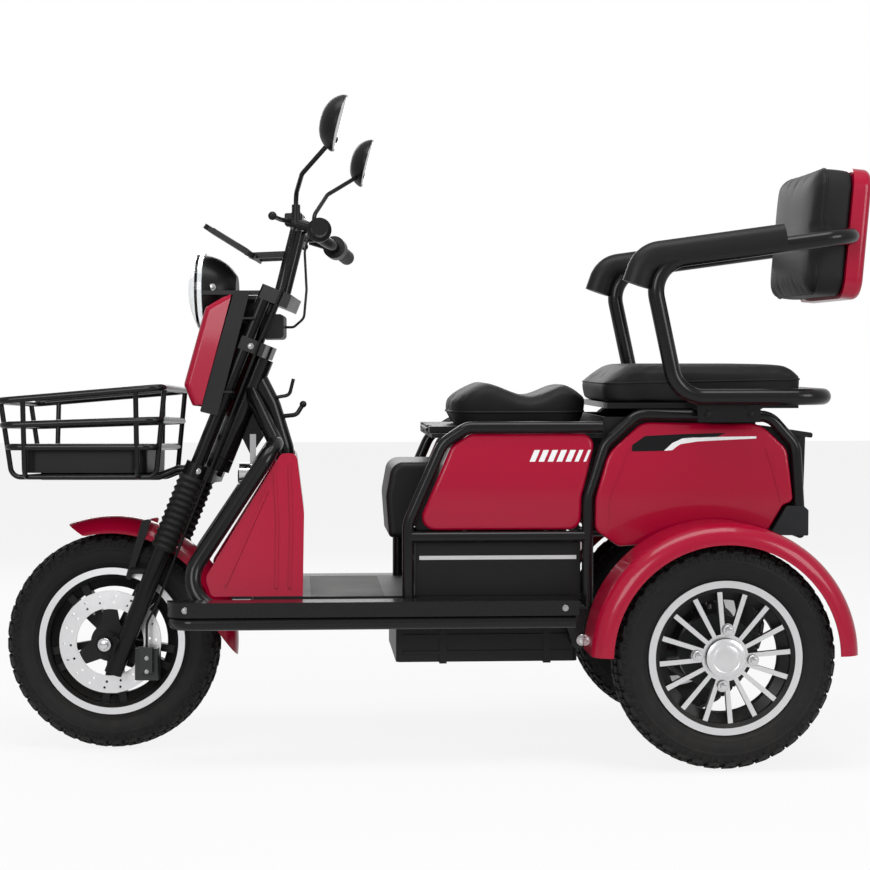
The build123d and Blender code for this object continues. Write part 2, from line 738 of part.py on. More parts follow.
def basket_frame():
    """Tube basket: three hoops, eight uprights that turn in under the tray, bracket."""
    frame = basket_ring(BASKET_TOP_Z, BASKET_TOP_Z - BASKET_DROP, 0)
    frame += basket_ring(BASKET_MID_Z, BASKET_MID_Z - 10, 6)
    frame += basket_ring(BASKET_LOW_Z, BASKET_LOW_Z, 14)
    low = BASKET_FLOOR_Z - BASKET_TUBE_D / 2
    for y in (-BASKET_HALF + 34, BASKET_HALF - 34):
        frame += tube(
            [
                (BASKET_REAR_X, y, BASKET_TOP_Z),
                (BASKET_REAR_X + 16, y, low),
                (BASKET_FRONT_X - 22, y, low),
                (BASKET_FRONT_X, y, BASKET_TOP_Z - BASKET_DROP),
            ],
            BASKET_BEND,
            BASKET_TUBE_D - 3,
        )
    clamp = head_point(LEG_U / 2 + 23 + SEAT_GAP, 0, BOOT_TOP_W + CLAMP_T / 2)
    for y in (-46, 46):
        way = [
            (clamp.X - 6, y, clamp.Z - 3),
            (clamp.X + 30, y, clamp.Z - 2),
            (BASKET_REAR_X + 24, y, low),
            (BASKET_FRONT_X - 60, y, low),
        ]
        arm = tube(way, [16, 16], BASKET_TUBE_D + 2)
        clamp_room = Box(46 + 2 * SEAT_GAP, 2 * LEG_HALF, CLAMP_T + 60)
        frame += arm - in_head(Pos(LEG_U / 2, 0, BOOT_TOP_W + CLAMP_T / 2) * clamp_room)
    for x in (BASKET_REAR_X + 50, BASKET_FRONT_X - 50):
        share = (x - BASKET_REAR_X) / (BASKET_FRONT_X - BASKET_REAR_X)
        top = BASKET_TOP_Z - BASKET_DROP * share
        frame += tube(
            [
                (x, -BASKET_HALF, top),
                (x, -BASKET_HALF + 18, low),
                (x, BASKET_HALF - 18, low),
                (x, BASKET_HALF, top),
            ],
            BASKET_BEND,
            BASKET_TUBE_D - 3,
        )
    return frame


def basket_tray():
    """Pressed sheet tray in the bottom of the basket."""
    floor_z = BASKET_FLOOR_Z - BASKET_TUBE_D / 2 + (BASKET_TUBE_D + 2) / 2 + SEAT_GAP
    depth = 54.0
    middle = (BASKET_REAR_X + BASKET_FRONT_X) / 2
    length = BASKET_FRONT_X - BASKET_REAR_X - 76
    width = 2 * BASKET_HALF - 76
    outer = Pos(middle, 0, floor_z + depth / 2) * Box(length, width, depth)
    outer = fillet(outer.edges().filter_by(Axis.Z), 30)
    inner = Box(length - 2 * TRAY_T, width - 2 * TRAY_T, depth)
    inner = Pos(middle, 0, floor_z + TRAY_T + depth / 2) * inner
    inner = fillet(inner.edges().filter_by(Axis.Z), 30 - TRAY_T)
    return outer - inner


# ---- frame ----

def bag_hook():
    """Hook for a bag behind the spine: one knobbed arm below two short prongs."""
    hook = tube([(292, 0, 652), (262, 0, 655), (249, 0, 676)], 14, 9)
    hook += Pos(249, 0, 676) * Sphere(7)
    for side in (-1, 1):
        hook += tube([(300, side * 8, 690), (276, side * 12, 694), (268, side * 13, 726)], 12, 7)
    return hook


TUB_Z0 = 440.0
SHOCK_TOP_X = -505.0
SHOCK_Y = 140.0
SHOCK_EYE_L = 24.0
ARM_PIVOT_Y = 192.0
ARM_PIVOT_L = 30.0
PIVOT_X = -279.0
PIVOT_Z = 231.0
FENDER_FLANK_Y = 218.0
FENDER_WALL = 3.5


def main_frame():
    """Welded tube frame: head tube, spine, front loop, floor rails and seat hoops."""
    head_axis_low = head_point(0, 0, HEAD_LOW_W)
    head_axis_top = head_point(0, 0, HEAD_TOP_W)
    frame = rod(head_axis_low, head_axis_top, HEAD_TUBE_D)
    spine = [(346, 0, 742), (312, 0, 674), (286, 0, 588), (SPINE_X, 0, 470), (SPINE_X, 0, RAIL_Z)]
    frame += tube(spine, 70, SPINE_D)
    loop = [
        (RAIL_REAR_X, RAIL_Y, RAIL_Z),
        (LOOP_NOSE_X, RAIL_Y, RAIL_Z),
        (LOOP_TOP_X, LOOP_TOP_Y, LOOP_TOP_Z),
        (LOOP_TOP_X, -LOOP_TOP_Y, LOOP_TOP_Z),
        (LOOP_NOSE_X, -RAIL_Y, RAIL_Z),
        (RAIL_REAR_X, -RAIL_Y, RAIL_Z),
    ]
    frame += tube(loop, [62, 55, 55, 62], MAIN_TUBE_D)
    for side in (-1, 1):
        frame += rod((356, side * 8, 708), (LOOP_TOP_X, side * 58, LOOP_TOP_Z + 2), MAIN_TUBE_D - 2)
        y = side * HOOP_Y
        mid = [(52, y, RAIL_Z), (52, y, 455), (-14, y, 606), (-60, y, SEAT_RAIL_Z), (-318, y, SEAT_RAIL_Z)]
        frame += tube(mid, [60, 50, 30], HOOP_TUBE_D)
        rear = [
            (-290, y, RAIL_Z),
            (-290, y, 500),
            (-322, y, 602),
            (-385, y, 660),
            (-640, y, 656),
            (-690, y, 600),
            (-700, y, SUB_RAIL_Z - 10),
        ]
        frame += tube(rear, [60, 40, 40, 40, 40], HOOP_TUBE_D)
        sub_y = side * SUB_RAIL_Y
        frame += rod((-290, sub_y, SUB_RAIL_Z - 4), (-700, sub_y, SUB_RAIL_Z - 4), HOOP_TUBE_D - 1)
        frame += rod((52, y, LOWER_RAIL_Z), (-290, y, LOWER_RAIL_Z), HOOP_TUBE_D)
        frame += rod((RAIL_REAR_X, y, RAIL_Z), (-290, y, RAIL_Z), HOOP_TUBE_D)
    floor_tube_z = RAIL_Z + MAIN_TUBE_D / 2 - FLOOR_TUBE_D / 2
    for x in (340, SPINE_X, 52, RAIL_REAR_X + 10):
        frame += rod((x, -RAIL_Y, floor_tube_z), (x, RAIL_Y, floor_tube_z), FLOOR_TUBE_D)
    tub_tube_z = TUB_Z0 - SEAT_GAP - CROSS_TUBE_D / 2
    for x, z in ((-290, LOWER_RAIL_Z), (-70, tub_tube_z), (-230, tub_tube_z), (-700, SUB_RAIL_Z - 8)):
        frame += rod((x, -HOOP_Y, z), (x, HOOP_Y, z), CROSS_TUBE_D)
    reach = FENDER_FLANK_Y - FENDER_WALL - SEAT_GAP
    frame += rod((SHOCK_TOP_X, -reach, SUB_RAIL_Z - 4), (SHOCK_TOP_X, reach, SUB_RAIL_Z - 4), CROSS_TUBE_D)
    for side in (-1, 1):
        for edge in (-1, 1):
            y = side * SHOCK_Y + edge * (SHOCK_EYE_L / 2 + SEAT_GAP + PLATE_T / 2)
            x0, x1 = SHOCK_TOP_X - 13, SHOCK_TOP_X + 13
            ear = [(x0, 392), (x0, 438), (x1, 438), (x1, 392)]
            frame += side_shape(ear, 8, y - PLATE_T / 2, y + PLATE_T / 2)
            y = side * ARM_PIVOT_Y + edge * (ARM_PIVOT_L / 2 + SEAT_GAP + PLATE_T / 2)
            foot = [(PIVOT_X + 16, PIVOT_Z - 16), (PIVOT_X - 16, PIVOT_Z - 16)]
            plate = [(-246, 300), (-246, 268), *foot, (-306, 268), (-306, 300)]
            frame += side_shape(plate, 8, y - PLATE_T / 2, y + PLATE_T / 2)
    gusset = side_shape([(384, 640), (352, 574), (300, 652), (345, 730)], 3, -GUSSET_T / 2, GUSSET_T / 2)
    frame += gusset
    frame += bag_hook()
    bore = Cylinder(STEM_D / 2 + FIT, HEAD_TOP_W - HEAD_LOW_W + 20)
    bore = in_head(Pos(0, 0, (HEAD_LOW_W + HEAD_TOP_W) / 2) * bore)
    frame -= bore
    return frame


# ---- floor and covers ----

FLOOR_Z0 = RAIL_Z + MAIN_TUBE_D / 2 + SEAT_GAP
FLOOR_T = 9.0
FLOOR_FRONT_X = 345.0
FLOOR_REAR_X = -280.0
FLOOR_HALF = 190.0


def floor_board():
    """Foot board with lengthwise grooves, notched round the spine."""
    top = FLOOR_Z0 + FLOOR_T
    board = block(FLOOR_REAR_X, FLOOR_FRONT_X, -FLOOR_HALF, FLOOR_HALF, FLOOR_Z0, top)
    grooves = 19
    pitch = 2 * (FLOOR_HALF - 10) / grooves
    for i in range(grooves + 1):
        y = -FLOOR_HALF + 10 + i * pitch
        board -= block(96, 236, y - 3, y + 3, top - 2, top + 2)
    board -= Pos(SPINE_X, 0, FLOOR_Z0) * Cylinder(SPINE_D / 2 + SEAT_GAP, 60)
    return board


STEP_INNER_Y = RAIL_Y + MAIN_TUBE_D / 2 + SEAT_GAP
STEP_OUTER_Y = 271.0
STEP_FRONT_X = 505.0
STEP_REAR_X = -266.0
STEP_Z0 = 285.0
STEP_Z1 = 313.0


def running_boards():
    """Side steps: a flat rail with a round tube below it."""
    with BuildSketch(Plane.XY.offset(STEP_Z0)) as plan:
        with BuildLine():
            Line((STEP_REAR_X, STEP_INNER_Y), (STEP_REAR_X, STEP_OUTER_Y))
            Line((STEP_REAR_X, STEP_OUTER_Y), (STEP_FRONT_X - 45, STEP_OUTER_Y))
            RadiusArc((STEP_FRONT_X - 45, STEP_OUTER_Y), (STEP_FRONT_X, STEP_OUTER_Y - 45), 45)
            Line((STEP_FRONT_X, STEP_OUTER_Y - 45), (STEP_FRONT_X, STEP_INNER_Y))
            Line((STEP_FRONT_X, STEP_INNER_Y), (STEP_REAR_X, STEP_INNER_Y))
        make_face()
    rail = extrude(plan.sketch, amount=STEP_Z1 - STEP_Z0)
    lower_z = STEP_Z0 - 12
    rail += tube(
        [
            (STEP_REAR_X + 6, STEP_OUTER_Y - 14, lower_z),
            (STEP_FRONT_X - 16, STEP_OUTER_Y - 14, lower_z),
            (STEP_FRONT_X - 16, STEP_INNER_Y - 10, lower_z),
        ],
        30,
        26,
    )
    return pair(rail)


LEAN = (RAIL_Y - LOOP_TOP_Y) / (LOOP_TOP_Z - RAIL_Z)
SHIELD_WALL = 4.0


def lean_plane(inset):
    """Plane of the leg shield's left wall, leaning in with the frame loop."""
    angle = atan2(LEAN, 1)
    return Plane(origin=(0, RAIL_Y - inset, RAIL_Z), x_dir=(1, 0, 0), z_dir=(0, cos(angle), sin(angle)))


def between_leans(shape, inset):
    """Keep what lies between the left and right leaning planes."""
    left = lean_plane(inset)
    kept = split(shape, bisect_by=left, keep=Keep.BOTTOM)
    lean = (0, -left.z_dir.Y, left.z_dir.Z)
    right = Plane(origin=(0, -RAIL_Y + inset, RAIL_Z), x_dir=(1, 0, 0), z_dir=lean)
    return split(kept, bisect_by=right, keep=Keep.BOTTOM)


def leg_shield():
    """Red leg shield: two leaning side walls and a rear wall, open to the front."""
    low = FLOOR_Z0 + FLOOR_T + SEAT_GAP
    outline = [(424, low), (436, 350), (292, 583), (262, 583), (248, 470), (251, low)]
    body = side_shape(outline, [10, 22, 14, 14, 60, 3], -RAIL_Y, RAIL_Y)
    body = between_leans(body, 8)
    hollow = side_shape([(600, low - 9), (600, 800), (266, 800), (266, 583), (252, 470), (255, low - 9)],
                        [3, 3, 3, 10, 56, 3], -RAIL_Y, RAIL_Y)
    hollow = between_leans(hollow, 8 + SHIELD_WALL)
    return body - hollow


SEAT_BOX_HALF = 188.0
BOX_WALL = 4.0


DECK_Z = 623.5
LID_GAP = 0.5


def seat_box():
    """Storage tub under the rider's seat with its deck and rounded front cover."""
    outer = [(36, TUB_Z0), (34, 452), (-26, 590), (-44, DECK_Z), (-276, DECK_Z), (-276, TUB_Z0)]
    tub = side_shape(outer, [4, 4, 4, 4, 4, 4], -SEAT_BOX_HALF, SEAT_BOX_HALF)
    deck = block(-322, 6, -SEAT_BOX_HALF, SEAT_BOX_HALF, DECK_Z - 8, DECK_Z)
    inner = [(30, 445), (29, 452), (-30, 588), (-48, DECK_Z - 8), (-271, DECK_Z - 8), (-271, 445)]
    tub = tub + deck
    tub -= side_shape(inner, [3, 3, 3, 3, 3, 3], -SEAT_BOX_HALF + BOX_WALL, SEAT_BOX_HALF - BOX_WALL)
    tub -= block(-262, -52, -134, 134, DECK_Z - 20, DECK_Z + 20)
    cover_points = [(84, 420), (90, 500), (78, 566), (-60, 566), (-60, 420)]
    cover = side_shape(cover_points, [8, 60, 26, 3, 3], -118, 118)
    front = [edge for edge in soft_ends(cover) if edge.bounding_box().max.X > 20]
    cover = fillet(front, 12)
    behind = [(36.3, 300), (36.3, 440), (34.3, 452), (-26, 591), (-200, 591), (-200, 300)]
    cover -= side_shape(behind, [3, 3, 3, 3, 3, 3], -160, 160)
    cover += block(34, 40, -110, 110, 446, 450)
    end = KNUCKLE_Y + KNUCKLE_L
    hinge = hinge_rod(-end, end, PIN_D)
    for side in (-1, 1):
        y0, y1 = sorted((side * KNUCKLE_Y, side * end))
        hinge += hinge_rod(y0, y1, KNUCKLE_D) + block(2, SADDLE_HINGE_X, y0, y1, DECK_Z - 4, SADDLE_HINGE_Z)
    return tub + cover + hinge


PANEL_Y = 214.0


CROWN_R = 520.0
CROWN_L = 1600.0
PANEL_EDGE_R = 9.0


def panel(points, radius, y_in, y_out, round_edge):
    """A crowned cover panel: rounded outline, barrelled face, soft outer edge."""
    skin = side_shape(points, radius, y_in, y_out)
    heights = [point[1] for point in points]
    middle = (min(heights) + max(heights)) / 2
    crown = Pos(0, y_out - CROWN_R, middle) * Rot(0, 90, 0) * Cylinder(CROWN_R, CROWN_L)
    skin = (skin & crown).solids()[0]
    edges = [edge for edge in skin.edges() if edge.bounding_box().min.Y > y_in + 1]
    return fillet(edges, round_edge)


def mid_panels():
    """Red crowned panels beside the rider's seat box."""
    outline = [(39, 440.5), (-29, 600), (-66, 624), (-308, 624), (-278, 503), (-278, 440.5)]
    radii = [26, 26, 26, 24, 60, 24]
    skin = panel(outline, radii, SEAT_BOX_HALF + SEAT_GAP, PANEL_Y, PANEL_EDGE_R)
    return pair(skin)


def rear_panels():
    """Red crowned panels beside the passenger's seat base, clipped to the sub rails."""
    outline = [(-304, 500), (-328, 586), (-394, 645), (-622, 642), (-672, 594), (-684, 494), (-664, 486),
               (-630, 424), (-350, 408), (-304, 440)]
    skin = panel(outline, [60, 70, 40, 50, 30, 12, 12, 12, 16, 20], 193, PANEL_Y + 3, PANEL_EDGE_R - 3)
    for x in (-350, -420):
        lug_y = SUB_RAIL_Y + (HOOP_TUBE_D - 1) / 2 + SEAT_GAP
        skin += rod((x, lug_y, SUB_RAIL_Z - 4), (x, 196, SUB_RAIL_Z - 4), 12)
    tube_z = SUB_RAIL_Z - 4
    skin -= rod((SHOCK_TOP_X, 100, tube_z), (SHOCK_TOP_X, 300, tube_z), CROSS_TUBE_D + 2 * SEAT_GAP)
    return pair(skin)


def side_skirts():
    """Grey lower side covers between step and panels."""
    skirt = block(-278, 38, 181, HOOP_Y - HOOP_TUBE_D / 2 - SEAT_GAP, FLOOR_Z0 + FLOOR_T + SEAT_GAP, 416)
    return pair(skirt)


# ---- seats ----

SADDLE_HINGE_X = 8.0
SADDLE_HINGE_Z = 628.0


KNUCKLE_D = 8.0
KNUCKLE_Y = 60.0
KNUCKLE_L = 34.0
PIN_D = 4.0


def hinge_rod(y0, y1, diameter):
    """A round rod on the saddle's hinge line."""
    return rod((SADDLE_HINGE_X, y0, SADDLE_HINGE_Z), (SADDLE_HINGE_X, y1, SADDLE_HINGE_Z), diameter)


def saddle_base():
    """Moulded tray that carries the saddle, with the middle knuckle of its hinge."""
    tray = block(-318, SADDLE_HINGE_X, -150, 150, DECK_Z + LID_GAP, 636)
    for side in (-1, 1):
        y0, y1 = sorted((side * (KNUCKLE_Y - 1), side * (KNUCKLE_Y + KNUCKLE_L + 1)))
        tray -= block(SADDLE_HINGE_X - KNUCKLE_D, SADDLE_HINGE_X + 10, y0, y1, DECK_Z, 640)
    tray += hinge_rod(-KNUCKLE_Y + 1, KNUCKLE_Y - 1, KNUCKLE_D)
    return tray - hinge_rod(-KNUCKLE_Y, KNUCKLE_Y, PIN_D + 2 * SEAT_GAP)


def saddle_cushion():
    """Rider's saddle."""
    points = [(-34, 636.3), (-36, 700), (-90, 718), (-190, 690), (-268, 712), (-306, 704), (-306, 636.3)]
    pad = side_shape(points, [4, 14, 30, 90, 30, 10, 4], -128, 128)
    return pad


def passenger_cushion():
    """Passenger's seat pad with a soft upper edge."""
    points = [(-318, 682.3), (-318, 742), (-350, 752), (-700, 752), (-717, 735), (-717, 682.3)]
    pad = side_shape(points, [4, 14, 20, 14, 14, 4], -195, 195)
    return soft_sides(pad, 3)


PAN_Z0 = 671.0
PAN_Z1 = 682.0


def arm_tube(diameter):
    """The closed tube loop of seat rail, arms and back bar at a given diameter."""
    left = [
        (ARM_REAR_X, ARM_Y, ARM_LOW_Z),
        (-452, ARM_Y, ARM_LOW_Z),
        (-398, ARM_Y, 945),
        (BACK_TUBE_X, ARM_Y, BACK_TUBE_Z),
    ]
    right = [(x, -y, z) for x, y, z in reversed(left)]
    return tube(left + right, 62, diameter, closed=True)


def arm_frame():
    """Tube loop of seat rail, arms and back bar, with seat pan and bolt plates."""
    frame = arm_tube(ARM_TUBE_D)
    plate = block(-613, -493, ARM_Y - 18, ARM_Y - 12, 646, 686)
    shelf = block(-613, -493, HOOP_Y - 4, ARM_Y - 12, 669.3, 674)
    frame += plate + shelf
    frame += mirrored(plate + shelf)
    frame += block(-700, -330, -185, 185, PAN_Z0, PAN_Z1)
    for x in (-600, -506):
        frame += block(x - 15, x + 15, -ARM_Y + 8, ARM_Y - 8, PAN_Z0, PAN_Z1)
    return frame


def armrests():
    """Moulded pads clipped over the arms."""
    path = FilletPolyline((-372, ARM_Y, 905), (-390, ARM_Y, 957), (-655, ARM_Y, 994), radius=44)
    section = Plane(origin=path @ 0, z_dir=path % 0) * Ellipse(26, 20)
    pad = sweep(section, path=path)
    return pad - arm_tube(ARM_TUBE_D + 2 * SEAT_GAP)


BACK_LEAN = 5.0
BACK_SPLIT_X = -785.0


def leaned(shape):
    """Lean the backrest about its bottom edge."""
    pivot = Axis((BACK_SPLIT_X, 0, 882), (0, 1, 0))
    return shape.rotate(pivot, -BACK_LEAN)


def backrest_cushion():
    """Padded front of the backrest, crowned by its soft front edge."""
    pad = block(BACK_SPLIT_X, -715, -190, 190, 882, 1134)
    pad = fillet(pad.edges().filter_by(Axis.X), 40)
    pad = fillet(pad.faces().sort_by(Axis.X)[-1].edges(), 20)
    return leaned(pad) - arm_tube(ARM_TUBE_D + 2 * SEAT_GAP)


def backrest_shell():
    """Red moulded back of the backrest, soft at its rear edge."""
    shell = block(-822, BACK_SPLIT_X - SEAT_GAP, -190, 190, 882, 1134)
    shell = fillet(shell.edges().filter_by(Axis.X), 40)
    shell = fillet(shell.faces().sort_by(Axis.X)[0].edges(), 14)
    return leaned(shell) - arm_tube(ARM_TUBE_D + 2 * SEAT_GAP)


BIN_HALF = 188.0
BIN_WALL = 5.0
LAMP_INNER_Y = 120.0
LAMP_TOP_Z = 485.0
LAMP_WALL = 3.0


def rear_body():
    """Black body below the passenger seat, with an open flared bin behind it."""
    low = SUB_RAIL_Z - 4 + (HOOP_TUBE_D - 1) / 2 + SEAT_GAP
    side = BIN_HALF - BIN_WALL
    body = block(-616, -322, -BIN_HALF, BIN_HALF, low, 655)
    body -= block(-610, -328, -side, side, low + 6, 700)
    body += block(-704, -614, -LAMP_INNER_Y + 2, LAMP_INNER_Y - 2, low, LAMP_TOP_Z + 6)
    floor_z = LAMP_TOP_Z + 3
    rear = side_shape([(-612, floor_z), (-612, 637), (-713, 625), (-709, floor_z)], 4, -BIN_HALF, BIN_HALF)
    lip = side_shape([(-612, 627), (-612, 638), (-726, 624), (-726, 614)], 4, -BIN_HALF - 4, BIN_HALF + 4)
    rear += lip
    rear -= side_shape([(-618, floor_z + 5), (-618, 700), (-709, 700), (-704, floor_z + 5)], 4, -side, side)
    return body + rear


def rear_fender():
    """Left rear fender."""
    top_r = 250.0
    lip_r = 212.0
    with BuildSketch(Plane.XY) as section:
        with BuildLine():
            arc = ThreePointArc((lip_r, 52), (242, 42), (top_r, 14))
            inboard = FENDER_FLANK_Y - TRACK_HALF
            top = Line(arc @ 1, (top_r, inboard))
            Line(top @ 1, (top_r - 3.5, inboard))
            under = Line((top_r - 3.5, inboard), (top_r - 3.5, 13))
            inner = ThreePointArc(under @ 1, (239, 39), (lip_r, 48.5))
            Line(inner @ 1, arc @ 0)
        make_face()
    shell = revolve(section.sketch, axis=Axis.Y, revolution_arc=178)
    shell = Rot(0, -179, 0) * shell
    shell = Pos(REAR_AXLE_X, TRACK_HALF, AXLE_Z) * shell
    top_z = AXLE_Z + top_r - 1.5
    flange = side_shape([(-550, 424), (-560, 446), (-560, top_z), (-450, top_z), (-450, 446), (-460, 424)],
                        3, FENDER_FLANK_Y - FENDER_WALL, FENDER_FLANK_Y)
    flange &= Pos(REAR_AXLE_X, FENDER_FLANK_Y, AXLE_Z) * Rot(90, 0, 0) * Cylinder(top_r - 1, 20)
    return shell + flange


def tail_lamps():
    """Tail lamp housings at the rear corners, hollow round the frame's tubes."""
    outer_y = FENDER_FLANK_Y - SEAT_GAP - 0.2
    outline = [(-640, 431), (-671, LAMP_TOP_Z), (-704, LAMP_TOP_Z), (-713, 477), (-713, 428)]
    lamp = side_shape(outline, 3, LAMP_INNER_Y, outer_y)
    hollow = [(-646, 434), (-673, LAMP_TOP_Z - 3), (-703, LAMP_TOP_Z - 3), (-712, 476), (-712, 431)]
    lamp -= side_shape(hollow, 2, LAMP_INNER_Y + LAMP_WALL, HOOP_Y + HOOP_TUBE_D / 2 + SEAT_GAP)
    gap = 2 * SEAT_GAP
    lamp -= rod((-700.6, HOOP_Y, 420), (-690, HOOP_Y, 600), HOOP_TUBE_D + gap)
    lamp -= rod((-600, SUB_RAIL_Y, SUB_RAIL_Z - 4), (-702, SUB_RAIL_Y, SUB_RAIL_Z - 4), HOOP_TUBE_D + gap)
    lamp -= rod((-700, 100, SUB_RAIL_Z - 8), (-700, HOOP_Y, SUB_RAIL_Z - 8), CROSS_TUBE_D + gap)
    return pair(lamp)


def battery_box():
    """Ribbed battery crate hung under the floor's cross tubes."""
    top = RAIL_Z + MAIN_TUBE_D / 2 - FLOOR_TUBE_D - SEAT_GAP
    case = block(-276, 73, -165, 165, 185, top)
    case = fillet(case.edges().filter_by(Axis.Z), 10)
    for x in (-17, -217):
        case += block(x - 7, x + 7, -168, 168, 182, top)
    for side in (-1, 1):
        y0, y1 = sorted((side * 165, side * 168))
        for z in (200, 232):
            case += block(-262, 60, y0, y1, z, z + 6)
        case += block(-276, 73, y0, y1, top - 8, top)
    return case


SHOCK_LOW_X = -520.0
SHOCK_LOW_Z = 264.0
SHOCK_TOP_Z = 404.0


def rear_axle():
    """Two swing arms, axle tube with brake backing plates, and the drive block."""
    axle = Pos(REAR_AXLE_X, 0, AXLE_Z) * Rot(90, 0, 0) * Cylinder(25, 2 * 222)
    drum = Pos(REAR_AXLE_X, 0, AXLE_Z) * Rot(90, 0, 0) * Cylinder(82, 170)
    axle += chamfer(drum.edges(), 8)
    axle += Pos(REAR_AXLE_X + 62, -34, AXLE_Z + 4) * Rot(90, 0, 0) * Cylinder(44, 96)
    for side in (-1, 1):
        plate = Pos(REAR_AXLE_X, side * 232, AXLE_Z) * Rot(90, 0, 0) * Cylinder(72, 24)
        axle += plate
        arm_y = side * ARM_PIVOT_Y
        arm = [(REAR_AXLE_X, arm_y, AXLE_Z), (-440, arm_y, AXLE_Z - 8), (PIVOT_X, arm_y, PIVOT_Z)]
        axle += tube(arm, 90, ARM_PIVOT_L - 2)
        y0 = arm_y - ARM_PIVOT_L / 2
        axle += rod((PIVOT_X, y0, PIVOT_Z), (PIVOT_X, y0 + ARM_PIVOT_L, PIVOT_Z), 32)
        for edge in (-1, 1):
            y = side * SHOCK_Y + edge * (SHOCK_EYE_L / 2 + SEAT_GAP + PLATE_T / 2)
            eye_top = SHOCK_LOW_Z + 12
            ear = [(REAR_AXLE_X - 14, AXLE_Z), (SHOCK_LOW_X - 14, eye_top), (SHOCK_LOW_X + 14, eye_top)]
            ear.append((REAR_AXLE_X + 22, AXLE_Z))
            axle += side_shape(ear, 5, y - PLATE_T / 2, y + PLATE_T / 2)
        bore = Cylinder(REAR_SHAFT_D / 2 + FIT, 60)
        axle -= Pos(REAR_AXLE_X, side * 240, AXLE_Z) * Rot(90, 0, 0) * bore
    return axle


SHOCK_COIL_COUNT = 7
COIL_R = 4.0
COIL_CORE_R = 15.5
COIL_OUTER_R = 21.5


def rear_shocks():
    """Coil-over shock absorbers between their ears on the axle and the frame."""
    low = Vector(SHOCK_LOW_X, SHOCK_Y, SHOCK_LOW_Z)
    top = Vector(SHOCK_TOP_X, SHOCK_Y, SHOCK_TOP_Z)
    way = (top - low).normalized()
    length = (top - low).length
    pitch = (length - 56) / SHOCK_COIL_COUNT
    with BuildSketch(Plane.XZ) as section:
        with BuildLine():
            Line((0, length - 22), (0, 22))
            Line((0, 22), (COIL_CORE_R, 22))
            place = 22
            for i in range(SHOCK_COIL_COUNT):
                middle = 28 + (i + 0.5) * pitch
                Line((COIL_CORE_R, place), (COIL_CORE_R, middle - COIL_R))
                place = middle + COIL_R
                ThreePointArc((COIL_CORE_R, middle - COIL_R), (COIL_OUTER_R, middle), (COIL_CORE_R, place))
            Line((COIL_CORE_R, place), (COIL_CORE_R, length - 22))
            Line((COIL_CORE_R, length - 22), (0, length - 22))
        make_face()
    shock = Plane(origin=low, z_dir=way).location * revolve(section.sketch, axis=Axis.Z)
    for eye, inward in ((low, way), (top, -way)):
        shock += rod(eye + inward * 16, eye + inward * 24, 46)
        neck = rod(eye, eye + inward * 18, 17)
        reach = Vector(0, SHOCK_EYE_L / 2, 0)
        shock += neck + rod(eye - reach, eye + reach, 24)
    return pair(shock)


HORN_X = 362.0
HORN_Z = 533.0
HORN_R = 28.0


def horn():
    """Disc horn on a flat bracket that is bolted to the gusset."""
    body = Pos(HORN_X, 0, HORN_Z) * Rot(0, 90, 0) * Cylinder(HORN_R, 26)
    body += Pos(HORN_X + 13, 0, HORN_Z) * Rot(0, 90, 0) * Cone(HORN_R - 3, 12, 6)
    body += Pos(HORN_X - 15, 0, HORN_Z) * Rot(0, 90, 0) * Cylinder(9, 8)
    side = GUSSET_T / 2 + SEAT_GAP
    body += block(HORN_X - 20, HORN_X - 8, side, side + 3, HORN_Z - 8, HORN_Z + 84)
    return body


CABLE_D = 5.0
CALIPER_TOP_Z = AXLE_Z - 42 + 10 + 25


def brake_cables():
    """Front brake cable down the left leg, and the rear one into the column cover."""
    x = lever_root().X - 2
    z = lever_root().Z + 5
    seat_y = lever_root().Y - 39 - SEAT_GAP
    front = [
        Vector(x, seat_y, z),
        Vector(x, seat_y - 26, z),
        Vector(x + 12, 110, 984),
        head_point(0, 103, 965),
        head_point(4, 103, 860),
        head_point(2, 100, 720),
        head_point(0, 98, 590),
        head_point(0, 98, 420),
        head_point(0, 92, 310),
        Vector(546, 76, 250),
        Vector(546, 76, CALIPER_TOP_Z + SEAT_GAP),
    ]
    rear = [
        Vector(x, -seat_y, z),
        Vector(x, -seat_y + 26, z),
        Vector(x + 4, -92, 984),
        Vector(246, -48, 905),
        Vector(248, -14, 846),
        Vector(268, -8, 828),
        Vector(284 - SEAT_GAP, -8, 828),
    ]
    lines = [tube(front, [18, 30, 80, 300, 400, 300, 160, 60, 30], CABLE_D)]
    lines.append(tube(rear, [18, 30, 50, 20, 10], CABLE_D))
    return Compound(children=[solid for line in lines for solid in line.solids()])


# ---- write every node ----

save("main_frame", main_frame())
save("floor_board", floor_board())
save("running_boards", running_boards())
save("leg_shield", leg_shield())
save("horn", horn())
save("seat_box", seat_box())
save("mid_panels", mid_panels())
save("rear_panels", rear_panels())
save("side_skirts", side_skirts())
save("saddle_base", saddle_base())
save("saddle_cushion", saddle_cushion())
save("passenger_cushion", passenger_cushion())
save("arm_frame", arm_frame())
save("armrests", pair(armrests()))
save("backrest_cushion", backrest_cushion())
save("backrest_shell", backrest_shell())
save("rear_body", rear_body())
save("rear_fenders", pair(rear_fender()))
save("tail_lamps", tail_lamps())
save("battery_box", battery_box())
save("rear_axle", rear_axle())
save("rear_shocks", rear_shocks())

